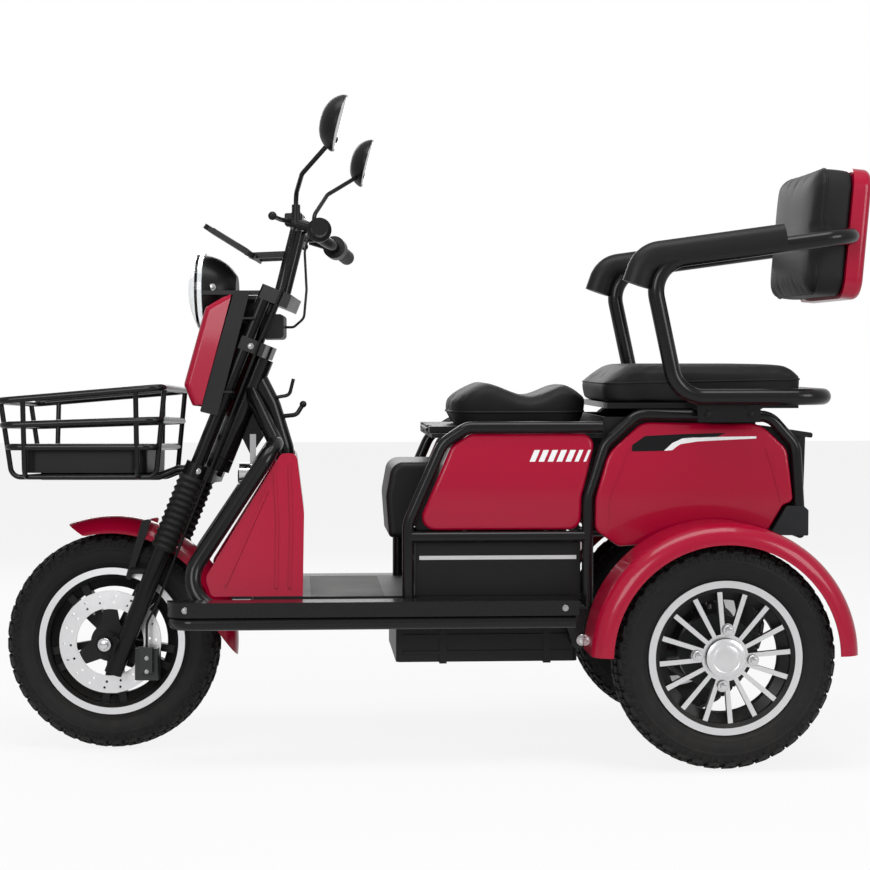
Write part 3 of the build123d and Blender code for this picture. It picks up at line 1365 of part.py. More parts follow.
save("fork", turned(fork()))
save("fork_boots", turned(fork_boots()))
save("front_fender", turned(front_fender()))
save("brake_caliper", turned(brake_caliper()))
save("headlight_housing", turned(headlight_housing()))
save("headlight_lens", turned(headlight_lens()))
save("shield", turned(shield()))
save("shield_inner", turned(shield_inner()))
save("handlebar", turned(handlebar()))
save("grips", turned(grips()))
save("controls", turned(controls()))
save("display", turned(display()))
save("mirrors", turned(mirrors()))
save("basket_frame", turned(basket_frame()))
save("basket_tray", turned(basket_tray()))
save("brake_cables", turned(brake_cables()))

front_place = Pos(FRONT_AXLE_X, 0, AXLE_Z)
save("front_tyre", turned(front_place * tyre()))
save("front_rim", turned(front_place * front_rim()))
save("brake_disc", turned(front_place * brake_disc()))
for name, side in (("left", 1), ("right", -1)):
    place = Pos(REAR_AXLE_X, side * TRACK_HALF, AXLE_Z)
    save(f"rear_tyre_{name}", place * tyre())
    rim = rear_rim() if side > 0 else mirrored(rear_rim())
    save(f"rear_rim_{name}", place * rim)
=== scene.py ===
# %% [markdown]
# # An electric three-wheel scooter, dressed
#
# The frame of this scooter comes from its construction model: every tube, wheel and panel
# is already at its real size. This lesson adds what a camera sees, piece by piece: paint,
# rubber, vinyl, glass, the moulded tread, the stuffed seats and the small hardware.

# %% Load the frame
import json
import math

import bpy
import numpy as np
from mathutils import Matrix, Vector


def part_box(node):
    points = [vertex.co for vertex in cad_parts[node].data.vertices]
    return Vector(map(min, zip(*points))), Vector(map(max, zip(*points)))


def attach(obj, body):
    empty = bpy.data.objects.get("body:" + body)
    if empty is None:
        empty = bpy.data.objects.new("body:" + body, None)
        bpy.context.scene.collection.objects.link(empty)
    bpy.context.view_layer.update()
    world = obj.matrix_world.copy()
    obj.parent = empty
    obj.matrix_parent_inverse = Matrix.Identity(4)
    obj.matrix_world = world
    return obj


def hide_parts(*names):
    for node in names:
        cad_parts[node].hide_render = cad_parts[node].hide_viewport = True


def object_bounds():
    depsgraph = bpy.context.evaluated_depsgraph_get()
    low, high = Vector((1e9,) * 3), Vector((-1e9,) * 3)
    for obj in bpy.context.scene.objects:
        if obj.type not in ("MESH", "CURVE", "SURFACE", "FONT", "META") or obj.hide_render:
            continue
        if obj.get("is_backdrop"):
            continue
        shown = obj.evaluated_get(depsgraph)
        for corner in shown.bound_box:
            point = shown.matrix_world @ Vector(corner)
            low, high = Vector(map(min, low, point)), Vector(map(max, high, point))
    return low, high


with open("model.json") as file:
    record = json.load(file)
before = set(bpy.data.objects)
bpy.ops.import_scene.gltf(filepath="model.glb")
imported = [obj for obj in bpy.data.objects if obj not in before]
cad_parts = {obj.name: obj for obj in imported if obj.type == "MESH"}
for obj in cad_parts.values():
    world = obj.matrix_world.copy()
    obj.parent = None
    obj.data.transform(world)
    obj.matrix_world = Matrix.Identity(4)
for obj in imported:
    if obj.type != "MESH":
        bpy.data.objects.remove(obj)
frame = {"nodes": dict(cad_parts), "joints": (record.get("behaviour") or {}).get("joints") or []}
cad_low, cad_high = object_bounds()
print("scooter size in metres:", [round(v, 3) for v in cad_high - cad_low])

# %% [markdown]
# ## Where things turn
#
# The wheels and the steering head are joints of the frame, so their centres and axes are
# read from it. A piece of a wheel is modelled about the world's origin, with its axle
# along Y, and is then carried to its wheel by one matrix.

# %% Wheel places
joints = {joint["name"]: joint for joint in frame["joints"]}


def wheel_place(joint_name):
    """Matrix that carries a wheel modelled at the origin, axle along Y, to its place."""
    joint = joints[joint_name]
    axle = Vector(joint["axis"]).normalized()
    if axle.y < 0:
        axle = -axle
    turn = Vector((0, 1, 0)).rotation_difference(axle)
    return Matrix.Translation(Vector(joint["pos_m"])) @ turn.to_matrix().to_4x4()


FRONT_WHEEL = wheel_place("front_wheel_spin")
LEFT_WHEEL = wheel_place("rear_wheel_left_spin")
RIGHT_WHEEL = wheel_place("rear_wheel_right_spin")
TYRE_RADIUS = LEFT_WHEEL.translation.z
STEER_FOOT = Vector(joints["steering"]["pos_m"])
STEER_AXIS = Vector(joints["steering"]["axis"]).normalized()
print("tyre radius", round(TYRE_RADIUS, 3), "front axle", FRONT_WHEEL.translation)

# %% [markdown]
# ## Small helpers
#
# An operator acts on everything that is selected, so each step starts from an empty
# selection. A finished piece gets its place applied to its mesh, a smooth shade by angle,
# its material, and the moving body that it rides on.

# %% Helpers for selecting and finishing
def start_clean(*chosen):
    """Object mode, with only the chosen objects selected."""
    if bpy.context.object and bpy.context.object.mode != "OBJECT":
        bpy.ops.object.mode_set(mode="OBJECT")
    bpy.ops.object.select_all(action="DESELECT")
    for piece in chosen:
        piece.select_set(True)
        bpy.context.view_layer.objects.active = piece


def leave_edit():
    """Back to object mode, where the mesh data can be read."""
    bpy.ops.object.mode_set(mode="OBJECT")


def apply_scale():
    """Bakes the selected piece's scale into its mesh."""
    bpy.ops.object.transform_apply(location=False, rotation=False, scale=True)


def apply_modifiers(piece):
    """Applies every modifier of a piece, in order."""
    start_clean(piece)
    for modifier in list(piece.modifiers):
        bpy.ops.object.modifier_apply(modifier=modifier.name)


def pick_faces(piece, wanted):
    """Edit mode with only the wanted faces selected."""
    start_clean(piece)
    bpy.ops.object.mode_set(mode="EDIT")
    bpy.ops.mesh.select_mode(type="FACE")
    bpy.ops.mesh.select_all(action="DESELECT")
    leave_edit()
    for face in piece.data.polygons:
        face.select = bool(wanted(face))
    bpy.ops.object.mode_set(mode="EDIT")


def join(pieces):
    """One object from several."""
    start_clean(*pieces)
    bpy.context.view_layer.objects.active = pieces[0]
    if len(pieces) > 1:
        bpy.ops.object.join()
    return pieces[0]


def copy_of(piece, place):
    """A copy with its own mesh, carried by a matrix."""
    twin = piece.copy()
    twin.data = piece.data.copy()
    bpy.context.scene.collection.objects.link(twin)
    twin.matrix_world = place @ piece.matrix_world
    return twin


def edit_all(piece):
    """Edit mode with the whole mesh selected."""
    start_clean(piece)
    bpy.ops.object.mode_set(mode="EDIT")
    bpy.ops.mesh.select_all(action="SELECT")


def outward(piece):
    """Doubles merged and faces turned outwards."""
    edit_all(piece)
    bpy.ops.mesh.remove_doubles(threshold=0.00001)
    bpy.ops.mesh.normals_make_consistent(inside=False)
    leave_edit()


def finish_piece(piece, name, body, material, angle=35):
    """Place applied, smooth by angle, named, painted and riding on its body."""
    start_clean(piece)
    bpy.ops.object.transform_apply(location=True, rotation=True, scale=True)
    bpy.ops.object.shade_smooth_by_angle(angle=math.radians(angle))
    piece.name = name
    piece.data.name = name
    piece.data.materials.clear()
    piece.data.materials.append(material)
    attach(piece, body)
    print(name, "faces:", len(piece.data.polygons))
    return piece


# %% [markdown]
# ## Shared surface effects
#
# Three effects come back in almost every finish: a fine grain, a slow change of tone, and
# dust that settles on what faces up and on what is near the road. Each is a node group,
# built once. A group gives out masks and heights only, and the shader stays in the material.

# %% A helper that builds a node group
def new_group(name, inputs, outputs):
    """An empty shader group with named value inputs and outputs."""
    group = bpy.data.node_groups.new(name, "ShaderNodeTree")
    for label, default in inputs:
        socket = group.interface.new_socket(label, in_out="INPUT", socket_type="NodeSocketFloat")
        socket.default_value = default
    for label in outputs:
        group.interface.new_socket(label, in_out="OUTPUT", socket_type="NodeSocketFloat")
    return group, group.nodes.new("NodeGroupInput"), group.nodes.new("NodeGroupOutput")


def wire(tree, source, target):
    """One link between two sockets."""
    tree.links.new(source, target)


def math_node(tree, operation, first, second=None, clamp=False):
    """A Math node on two sockets or numbers, and its output."""
    node = tree.nodes.new("ShaderNodeMath")
    node.operation = operation
    node.use_clamp = clamp
    for index, value in enumerate((first, second)):
        if value is None:
            continue
        if isinstance(value, (int, float)):
            node.inputs[index].default_value = value
        else:
            wire(tree, value, node.inputs[index])
    return node.outputs[0]


# %% The grain and tone group
grain_group, grain_in, grain_out = new_group("surface_grain", [("Scale", 600.0)], ["Height", "Tone"])
grain_place = grain_group.nodes.new("ShaderNodeTexCoord")
fine_noise = grain_group.nodes.new("ShaderNodeTexNoise")
fine_noise.inputs["Detail"].default_value = 3
slow_noise = grain_group.nodes.new("ShaderNodeTexNoise")
slow_noise.inputs["Scale"].default_value = 7
slow_noise.inputs["Detail"].default_value = 5
wire(grain_group, grain_place.outputs["Object"], fine_noise.inputs["Vector"])
wire(grain_group, grain_in.outputs["Scale"], fine_noise.inputs["Scale"])
wire(grain_group, grain_place.outputs["Object"], slow_noise.inputs["Vector"])
wire(grain_group, fine_noise.outputs[0], grain_out.inputs["Height"])
wire(grain_group, slow_noise.outputs[0], grain_out.inputs["Tone"])

# %% The dust group
dust_group, dust_in, dust_out = new_group("road_dust", [("Amount", 0.1)], ["Mask"])
dust_place = dust_group.nodes.new("ShaderNodeTexCoord")
dust_split = dust_group.nodes.new("ShaderNodeSeparateXYZ")
wire(dust_group, dust_place.outputs["Object"], dust_split.inputs[0])
dust_up = dust_group.nodes.new("ShaderNodeSeparateXYZ")
wire(dust_group, dust_place.outputs["Normal"], dust_up.inputs[0])
dust_noise = dust_group.nodes.new("ShaderNodeTexNoise")
dust_noise.inputs["Scale"].default_value = 40
dust_noise.inputs["Detail"].default_value = 6
wire(dust_group, dust_place.outputs["Object"], dust_noise.inputs["Vector"])
low_down = math_node(dust_group, "MULTIPLY_ADD", dust_split.outputs["Z"], -1.6, clamp=True)
low_down.node.inputs[2].default_value = 0.75
facing_up = math_node(dust_group, "MULTIPLY", dust_up.outputs["Z"], 0.5, clamp=True)
dust_sum = math_node(dust_group, "ADD", low_down, facing_up, clamp=True)
dust_spots = math_node(dust_group, "MULTIPLY", dust_sum, dust_noise.outputs[0])
dust_mask = math_node(dust_group, "MULTIPLY", dust_spots, dust_in.outputs["Amount"], clamp=True)
wire(dust_group, dust_mask, dust_out.inputs["Mask"])
print("groups:", [group.name for group in bpy.data.node_groups])

# %% [markdown]
# ## A finish, step by step
#
# Paint, plastic and rubber differ in a few numbers: colour, how rough they are and by how
# much that wanders, the size and depth of the grain, and how much dust they hold. One
# function sets these up, and the special finishes add their own nodes to it.

# %% The basic finish
DUST_COLOUR = (0.32, 0.28, 0.23, 1)


def finish(name, colour, rough, wander=0.08, grain=600, depth=0.0001, dust=0.1, metal=0.0, coat=0.0):
    """A Principled material with grain, wandering roughness and dust."""
    material = bpy.data.materials.new(name)
    material.use_nodes = True
    tree = material.node_tree
    shader = tree.nodes["Principled BSDF"]
    shader.inputs["Metallic"].default_value = metal
    shader.inputs["Coat Weight"].default_value = coat
    shader.inputs["Coat Roughness"].default_value = 0.06
    shader.inputs["Coat IOR"].default_value = 1.3
    shader.inputs["IOR"].default_value = 1.5 if metal else 1.28
    grain_node = tree.nodes.new("ShaderNodeGroup")
    grain_node.node_tree = grain_group
    grain_node.name = "grain"
    grain_node.inputs["Scale"].default_value = grain
    dust_node = tree.nodes.new("ShaderNodeGroup")
    dust_node.node_tree = dust_group
    dust_node.inputs["Amount"].default_value = dust
    paint = tree.nodes.new("ShaderNodeMix")
    paint.data_type = "RGBA"
    paint.name = "paint"
    paint.inputs["A"].default_value = (*colour, 1)
    paint.inputs["B"].default_value = DUST_COLOUR
    wire(tree, dust_node.outputs["Mask"], paint.inputs["Factor"])
    wire(tree, paint.outputs["Result"], shader.inputs["Base Color"])
    rough_range = tree.nodes.new("ShaderNodeMapRange")
    rough_range.name = "rough_range"
    rough_range.inputs["To Min"].default_value = max(0.02, rough - wander)
    rough_range.inputs["To Max"].default_value = min(1.0, rough + wander)
    wire(tree, grain_node.outputs["Tone"], rough_range.inputs["Value"])
    wire(tree, rough_range.outputs["Result"], shader.inputs["Roughness"])
    bump = tree.nodes.new("ShaderNodeBump")
    bump.name = "grain_bump"
    bump.inputs["Strength"].default_value = 0.5
    bump.inputs["Distance"].default_value = depth
    wire(tree, grain_node.outputs["Height"], bump.inputs["Height"])
    wire(tree, bump.outputs["Normal"], shader.inputs["Normal"])
    return material


# %% Plain finishes of this scooter
CRIMSON = (0.37, 0.0, 0.026)
black_paint = finish(
    "gloss_black_paint", (0.006, 0.006, 0.007), 0.22, 0.05, 220, 0.00008, 0.02, 0, 0.35
)
crimson = finish("crimson_lacquer", CRIMSON, 0.3, 0.04, 90, 0.00008, 0.012, 0, 0.8)
moulding = finish("black_moulding", (0.010, 0.010, 0.011), 0.42, 0.08, 1500, 0.00012, 0.03)
satin_black = finish("satin_black", (0.009, 0.009, 0.010), 0.34, 0.06, 900, 0.00008, 0.03)
lamp_grey = finish("lamp_housing_grey", (0.018, 0.020, 0.022), 0.4, 0.08, 900, 0.0001, 0.04)
floor_rubber = finish("floor_mat_rubber", (0.012, 0.012, 0.013), 0.5, 0.1, 1100, 0.00018, 0.1)
soft_rubber = finish("boot_rubber", (0.008, 0.008, 0.008), 0.5, 0.08, 900, 0.0001, 0.05)
grip_rubber = finish("grip_rubber", (0.008, 0.008, 0.008), 0.55, 0.08, 1400, 0.0002, 0.03)
cast_metal = finish("dark_casting", (0.020, 0.023, 0.023), 0.42, 0.1, 500, 0.0003, 0.05, 0.3)
spring_paint = finish("spring_paint", (0.008, 0.008, 0.009), 0.3, 0.06, 400, 0.0001, 0.05, 0, 0.3)
sheath = finish("cable_sheath", (0.007, 0.007, 0.007), 0.4, 0.06, 800, 0.00005, 0.02)
chrome = finish("plated_steel", (0.62, 0.62, 0.63), 0.14, 0.06, 300, 0.00004, 0.02, 1.0)
zinc = finish("zinc_plated_bolt", (0.42, 0.42, 0.43), 0.3, 0.08, 600, 0.0001, 0.08, 1.0)
pale_strip = finish("brushed_strip", (0.66, 0.66, 0.67), 0.35, 0.08, 500, 0.00005, 0.02, 0.6)
white_vinyl = finish("white_trim_film", (0.86, 0.86, 0.87), 0.3, 0.05, 400, 0.00003, 0.01)
black_film = finish("black_trim_film", (0.006, 0.006, 0.007), 0.25, 0.05, 400, 0.00003, 0.01)
red_lens = finish("red_lamp_lens", (0.42, 0.005, 0.01), 0.12, 0.04, 260, 0.0002, 0.03, 0, 0.8)
print("finishes made:", len(bpy.data.materials))

# %% [markdown]
# ## Special finishes
#
# Seat vinyl has a leather grain, which is cells pressed into the skin. A wheel is painted
# black and then turned on a lathe, so only the faces that point outwards, and the rim's
# lip, are bright. A brake disc is ground in rings. Glass and mirrors come last.

# %% Seat vinyl
vinyl = finish("seat_vinyl", (0.011, 0.011, 0.012), 0.56, 0.07, 260, 0.0002, 0.02)
vinyl_tree = vinyl.node_tree
vinyl_cells = vinyl_tree.nodes.new("ShaderNodeTexVoronoi")
vinyl_cells.feature = "DISTANCE_TO_EDGE"
vinyl_cells.inputs["Scale"].default_value = 420
vinyl_place = vinyl_tree.nodes.new("ShaderNodeTexCoord")
wire(vinyl_tree, vinyl_place.outputs["Object"], vinyl_cells.inputs["Vector"])
vinyl_grain = vinyl_tree.nodes.new("ShaderNodeBump")
vinyl_grain.inputs["Strength"].default_value = 0.45
vinyl_grain.inputs["Distance"].default_value = 0.0006
wire(vinyl_tree, vinyl_cells.outputs["Distance"], vinyl_grain.inputs["Height"])
wire(vinyl_tree, vinyl_tree.nodes["grain_bump"].outputs["Normal"], vinyl_grain.inputs["Normal"])
wire(vinyl_tree, vinyl_grain.outputs["Normal"], vinyl_tree.nodes["Principled BSDF"].inputs["Normal"])

# %% Tyre rubber
tyre_rubber = finish("tyre_rubber", (0.007, 0.007, 0.008), 0.6, 0.1, 900, 0.0002, 0.07)


# %% Turned wheel alloy
LATHE_RINGS = 9000.0


def turned_alloy(name, place, lip_radius, face_depth):
    """Black paint, with bright metal where a wheel's outer faces were turned on a lathe."""
    material = finish(name, (0.008, 0.008, 0.009), 0.3, 0.06, 500, 0.0001, 0.08)
    tree = material.node_tree
    shader = tree.nodes["Principled BSDF"]
    coordinate = tree.nodes.new("ShaderNodeTexCoord")
    centre = tree.nodes.new("ShaderNodeMapping")
    centre.vector_type = "TEXTURE"
    centre.inputs["Location"].default_value = place.translation
    centre.inputs["Rotation"].default_value = place.to_euler()
    wire(tree, coordinate.outputs["Object"], centre.inputs["Vector"])
    split = tree.nodes.new("ShaderNodeSeparateXYZ")
    wire(tree, centre.outputs["Vector"], split.inputs[0])
    facing = tree.nodes.new("ShaderNodeVectorMath")
    facing.operation = "DOT_PRODUCT"
    facing.inputs[1].default_value = place.to_3x3() @ Vector((0, 1, 0))
    wire(tree, coordinate.outputs["Normal"], facing.inputs[0])
    flat = math_node(tree, "ABSOLUTE", facing.outputs["Value"])
    flat = math_node(tree, "GREATER_THAN", flat, 0.93)
    depth = math_node(tree, "ABSOLUTE", split.outputs["Y"])
    outer = math_node(tree, "GREATER_THAN", depth, face_depth)
    face_mask = math_node(tree, "MULTIPLY", flat, outer)
    across = math_node(tree, "POWER", split.outputs["X"], 2.0)
    along = math_node(tree, "POWER", split.outputs["Z"], 2.0)
    radius = math_node(tree, "SQRT", math_node(tree, "ADD", across, along))
    lip = math_node(tree, "GREATER_THAN", radius, lip_radius)
    bright = math_node(tree, "MAXIMUM", face_mask, lip)
    metal_paint = tree.nodes.new("ShaderNodeMix")
    metal_paint.data_type = "RGBA"
    metal_paint.inputs["B"].default_value = (0.72, 0.72, 0.73, 1)
    wire(tree, bright, metal_paint.inputs["Factor"])
    wire(tree, tree.nodes["paint"].outputs["Result"], metal_paint.inputs["A"])
    wire(tree, metal_paint.outputs["Result"], shader.inputs["Base Color"])
    wire(tree, bright, shader.inputs["Metallic"])
    rings = tree.nodes.new("ShaderNodeMath")
    rings.operation = "SINE"
    wire(tree, math_node(tree, "MULTIPLY", radius, LATHE_RINGS), rings.inputs[0])
    ring_bump = tree.nodes.new("ShaderNodeBump")
    ring_bump.inputs["Strength"].default_value = 0.15
    ring_bump.inputs["Distance"].default_value = 0.00005
    wire(tree, rings.outputs[0], ring_bump.inputs["Height"])
    wire(tree, tree.nodes["grain_bump"].outputs["Normal"], ring_bump.inputs["Normal"])
    wire(tree, ring_bump.outputs["Normal"], shader.inputs["Normal"])
    return material


front_alloy = turned_alloy("front_wheel_alloy", FRONT_WHEEL, 0.1405, 0.030)
left_alloy = turned_alloy("left_wheel_alloy", LEFT_WHEEL, 0.1405, 0.0215)
right_alloy = turned_alloy("right_wheel_alloy", RIGHT_WHEEL, 0.1405, 0.0215)


# %% Ground steel disc
ground_steel = turned_alloy("ground_steel", FRONT_WHEEL, 0.064, 0.2)
ground_steel.node_tree.nodes["rough_range"].inputs["To Min"].default_value = 0.2
ground_steel.node_tree.nodes["rough_range"].inputs["To Max"].default_value = 0.36

# %% Glass and mirrors
lamp_glass = finish("clear_lamp_glass", (0.92, 0.94, 0.95), 0.05, 0.02, 500, 0.00002, 0.0)
lamp_glass.node_tree.nodes["Principled BSDF"].inputs["Transmission Weight"].default_value = 1.0
lamp_glass.node_tree.nodes["Principled BSDF"].inputs["IOR"].default_value = 1.3
mirror_glass = finish("mirror_glass", (0.9, 0.91, 0.92), 0.03, 0.01, 500, 0.00001, 0.0, 1.0)
dark_glass = finish("instrument_glass", (0.008, 0.009, 0.011), 0.08, 0.02, 500, 0.00002, 0.01, 0, 0.8)
reflector = finish("lamp_reflector", (0.85, 0.86, 0.87), 0.1, 0.04, 120, 0.0004, 0.0, 1.0)
print("finishes made:", len(bpy.data.materials))

# %% [markdown]
# ## Painting the frame's own pieces
#
# Every node of the frame keeps its shape and place and only gets a finish.

# %% Which finish goes on which node
NODE_FINISH = {
    black_paint: ["main_frame", "arm_frame", "basket_frame", "running_boards", "handlebar"],
    crimson: [
        "leg_shield", "mid_panels", "rear_panels", "rear_fenders",
        "front_fender", "shield", "backrest_shell",
    ],
    moulding: [
        "rear_body", "side_skirts", "battery_box", "seat_box",
        "shield_inner", "saddle_base", "armrests",
    ],
    satin_black: ["headlight_housing", "mirrors", "controls", "basket_tray", "display"],
    lamp_grey: ["tail_lamps"],
    floor_rubber: ["floor_board"],
    soft_rubber: ["fork_boots"],
    grip_rubber: ["grips"],
    cast_metal: ["rear_axle", "brake_caliper"],
    spring_paint: ["rear_shocks"],
    sheath: ["brake_cables"],
    chrome: ["horn"],
    ground_steel: ["brake_disc"],
    front_alloy: ["front_rim"],
    left_alloy: ["rear_rim_left"],
    right_alloy: ["rear_rim_right"],
    lamp_glass: ["headlight_lens"],
    vinyl: ["saddle_cushion", "passenger_cushion", "backrest_cushion"],
    tyre_rubber: ["front_tyre", "rear_tyre_left", "rear_tyre_right"],
    black_film: ["fork"],
}
nodes = frame["nodes"]
for material, names in NODE_FINISH.items():
    for name in names:
        nodes[name].data.materials.clear()
        nodes[name].data.materials.append(material)
unpainted = set(nodes) - {name for names in NODE_FINISH.values() for name in names}
print("nodes without a finish:", unpainted)

# %% [markdown]
# ## Tyres
#
# A scooter tyre is a round carcass with moulded rings on its wall and a tread of separate
# blocks. The carcass is a closed profile spun about the axle. One pitch of the tread, with
# its blocks and its shoulder lugs, is modelled once, and an Array turned by an empty
# repeats it right round.

# %% Sizes of the tyre
TREAD_DEPTH = 0.005
CARCASS_RADIUS = TYRE_RADIUS - TREAD_DEPTH
BEAD_RADIUS = 0.1285
BEAD_HALF = 0.0268
SHOULDER_RADIUS = 0.196
SHOULDER_HALF = 0.031
WALL_HALF = 0.0385
WALL_RADIUS = 0.173
RIM_EDGE_RADIUS = 0.1475
RIM_EDGE_HALF = 0.0295
# Two moulded rings stand proud of the wall: radius and height.
WALL_RINGS = {0.1545: 0.0008, 0.1785: 0.0009}
SPIN_STEPS = 120
TREAD_PITCHES = 40


# %% The carcass
def half_section():
    """Points (radius, y) of half the tyre's skin, from its bead out to the middle of its tread."""
    points = [(BEAD_RADIUS, BEAD_HALF), (0.1448, BEAD_HALF), (RIM_EDGE_RADIUS, RIM_EDGE_HALF)]
    lower_wall = (0.1500, 0.1530, 0.1545, 0.1565, 0.1600, 0.1650, WALL_RADIUS)
    upper_wall = (0.1770, 0.1785, 0.1815, 0.1850, 0.1900)
    for radius in lower_wall + upper_wall:
        if radius < WALL_RADIUS:
            reach = (WALL_RADIUS - radius) / (WALL_RADIUS - RIM_EDGE_RADIUS)
            half = WALL_HALF - (WALL_HALF - RIM_EDGE_HALF) * reach ** 2
        else:
            reach = (radius - WALL_RADIUS) / (SHOULDER_RADIUS - WALL_RADIUS)
            half = WALL_HALF - (WALL_HALF - SHOULDER_HALF) * reach ** 2
        points.append((radius, half + WALL_RINGS.get(radius, 0.0)))
    crown = 8
    for step in range(crown + 1):
        across = SHOULDER_HALF * (1 - step / crown)
        drop = (CARCASS_RADIUS - SHOULDER_RADIUS) * (across / SHOULDER_HALF) ** 2
        points.append((CARCASS_RADIUS - drop, across))
    return points


def spun_tyre():
    """Carcass about the origin, axle along Y."""
    half = half_section()
    other = [(radius, -y) for radius, y in reversed(half[:-1])]
    section = half + other
    start_clean()
    bpy.ops.mesh.primitive_circle_add(vertices=len(section), radius=0.1)
    ring = bpy.context.object
    for vertex, (radius, y) in zip(ring.data.vertices, section):
        vertex.co = (radius, y, 0)
    edit_all(ring)
    bpy.ops.mesh.spin(steps=SPIN_STEPS, angle=2 * math.pi, center=(0, 0, 0), axis=(0, 1, 0))
    leave_edit()
    outward(ring)
    return ring


# %% One pitch of the tread
def crown_radius(y):
    """Radius of the carcass at a distance from its middle."""
    return CARCASS_RADIUS - (CARCASS_RADIUS - SHOULDER_RADIUS) * (y / SHOULDER_HALF) ** 2


def block(length, width, height, y, angle, skew=0.0, sink=0.0015):
    """A tread block with softened top edges, seated on the carcass."""
    radius = crown_radius(y)
    tilt = math.atan(2 * (CARCASS_RADIUS - SHOULDER_RADIUS) * y / SHOULDER_HALF**2)
    start_clean()
    bpy.ops.mesh.primitive_cube_add(size=1)
    piece = bpy.context.object
    piece.scale = (length, width, height + sink)
    apply_scale()
    pick_faces(piece, lambda face: face.normal.z > 0.9)
    bpy.ops.mesh.bevel(offset=0.0008, segments=1, affect="EDGES")
    leave_edit()
    lift = Matrix.Translation((0, 0, (height - sink) / 2))
    seat = Matrix.Translation((0, y, radius)) @ Matrix.Rotation(-tilt, 4, "X")
    around = Matrix.Rotation(angle, 4, "Y")
    piece.data.transform(around @ seat @ Matrix.Rotation(skew, 4, "Z") @ lift)
    return piece


def tread_pitch():
    """Blocks and lugs of one pitch, both sides of the middle line."""
    pitch = 2 * math.pi / TREAD_PITCHES
    second = TREAD_DEPTH - 0.0002
    outer = TREAD_DEPTH - 0.0005
    made = []
    for side in (-1, 1):
        shift = 0.0 if side > 0 else 0.5
        at = (0.25 + shift) * pitch
        made.append(block(0.0225, 0.0095, TREAD_DEPTH, side * 0.0068, at, side * 0.22))
        made.append(block(0.0105, 0.0100, second, side * 0.0190, at + 0.30 * pitch, -side * 0.3))
        made.append(block(0.0125, 0.0100, second, side * 0.0190, at - 0.18 * pitch, -side * 0.3))
        made.append(block(0.0200, 0.0085, outer, side * 0.0295, at + 0.06 * pitch, side * 0.12))
    return join(made)


LUG_SEAT_Y = 0.0338
LUG_SEAT_RADIUS = 0.1905
LUG_TILT = 0.42


def wall_lugs():
    """Two buttress lugs on each wall, one pitch long."""
    pitch = 2 * math.pi / TREAD_PITCHES
    made = []
    for side in (-1, 1):
        for part, length in ((0.15, 0.0065), (0.62, 0.0105)):
            start_clean()
            bpy.ops.mesh.primitive_cube_add(size=1)
            lug = bpy.context.object
            lug.scale = (length, 0.0036, 0.0125)
            apply_scale()
            pick_faces(lug, lambda face: face.normal.y * side > 0.9)
            bpy.ops.mesh.bevel(offset=0.0007, segments=1, affect="EDGES")
            leave_edit()
            seat = Matrix.Translation((0, side * LUG_SEAT_Y, LUG_SEAT_RADIUS))
            seat = seat @ Matrix.Rotation(side * LUG_TILT, 4, "X")
            lug.data.transform(Matrix.Rotation(part * pitch, 4, "Y") @ seat)
            made.append(lug)
    return join(made)


# %% The whole tyre, and one for each wheel
def whole_tyre():
    """Carcass with its tread arrayed round it."""
    carcass = spun_tyre()
    tread = join([tread_pitch(), wall_lugs()])
    bpy.ops.object.empty_add(location=(0, 0, 0), rotation=(0, 2 * math.pi / TREAD_PITCHES, 0))
    turner = bpy.context.object
    array = tread.modifiers.new("round", "ARRAY")
    array.use_relative_offset = False
    array.use_object_offset = True
    array.offset_object = turner
    array.count = TREAD_PITCHES
    apply_modifiers(tread)
    bpy.data.objects.remove(turner)
    return join([carcass, tread])


tyre = whole_tyre()
TYRES = [
    ("tyre_front", FRONT_WHEEL, "front_wheel", "front_tyre"),
    ("tyre_left", LEFT_WHEEL, "rear_wheel_left", "rear_tyre_left"),
    ("tyre_right", RIGHT_WHEEL, "rear_wheel_right", "rear_tyre_right"),
]
for name, place, body, node in TYRES:
    fitted = copy_of(tyre, place)
    finish_piece(fitted, name, body, tyre_rubber, 25)
    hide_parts(node)
bpy.data.objects.remove(tyre)

# %% [markdown]
# ## Stuffed pieces
#
# The saddle, the passenger's pad and the backrest are foam under stretched vinyl. Each one
# starts as a cube, is cut into a fine net, shaped by its own outline, remeshed, and then
# blown up a little by a short cloth simulation, so that the skin bellies between its edges
# as a stuffed cover does. How far a point may move is capped, and the underside stays flat.

# %% The shaped blank
NET_CUTS = 26


def smooth_step(value):
    """Eases from 0 to 1."""
    value = min(1.0, max(0.0, value))
    return value * value * (3 - 2 * value)


def profile(points, x):
    """Height of a smooth line through a few (x, z) points."""
    for (x0, z0), (x1, z1) in zip(points, points[1:]):
        if x <= x1:
            return z0 + (z1 - z0) * smooth_step((x - x0) / (x1 - x0))
    return points[-1][1]


def rounded_plan(x, y, half_x, half_y, corner):
    """Moves a point of a rectangle's plan on to its rounded corner."""
    over_x = abs(x) - (half_x - corner)
    over_y = abs(y) - (half_y - corner)
    if over_x <= 0 or over_y <= 0:
        return x, y
    far = math.hypot(over_x, over_y)
    square = max(over_x, over_y)
    pull = square / far
    new_x = (half_x - corner) + over_x * pull
    new_y = (half_y - corner) + over_y * pull
    return math.copysign(new_x, x), math.copysign(new_y, y)


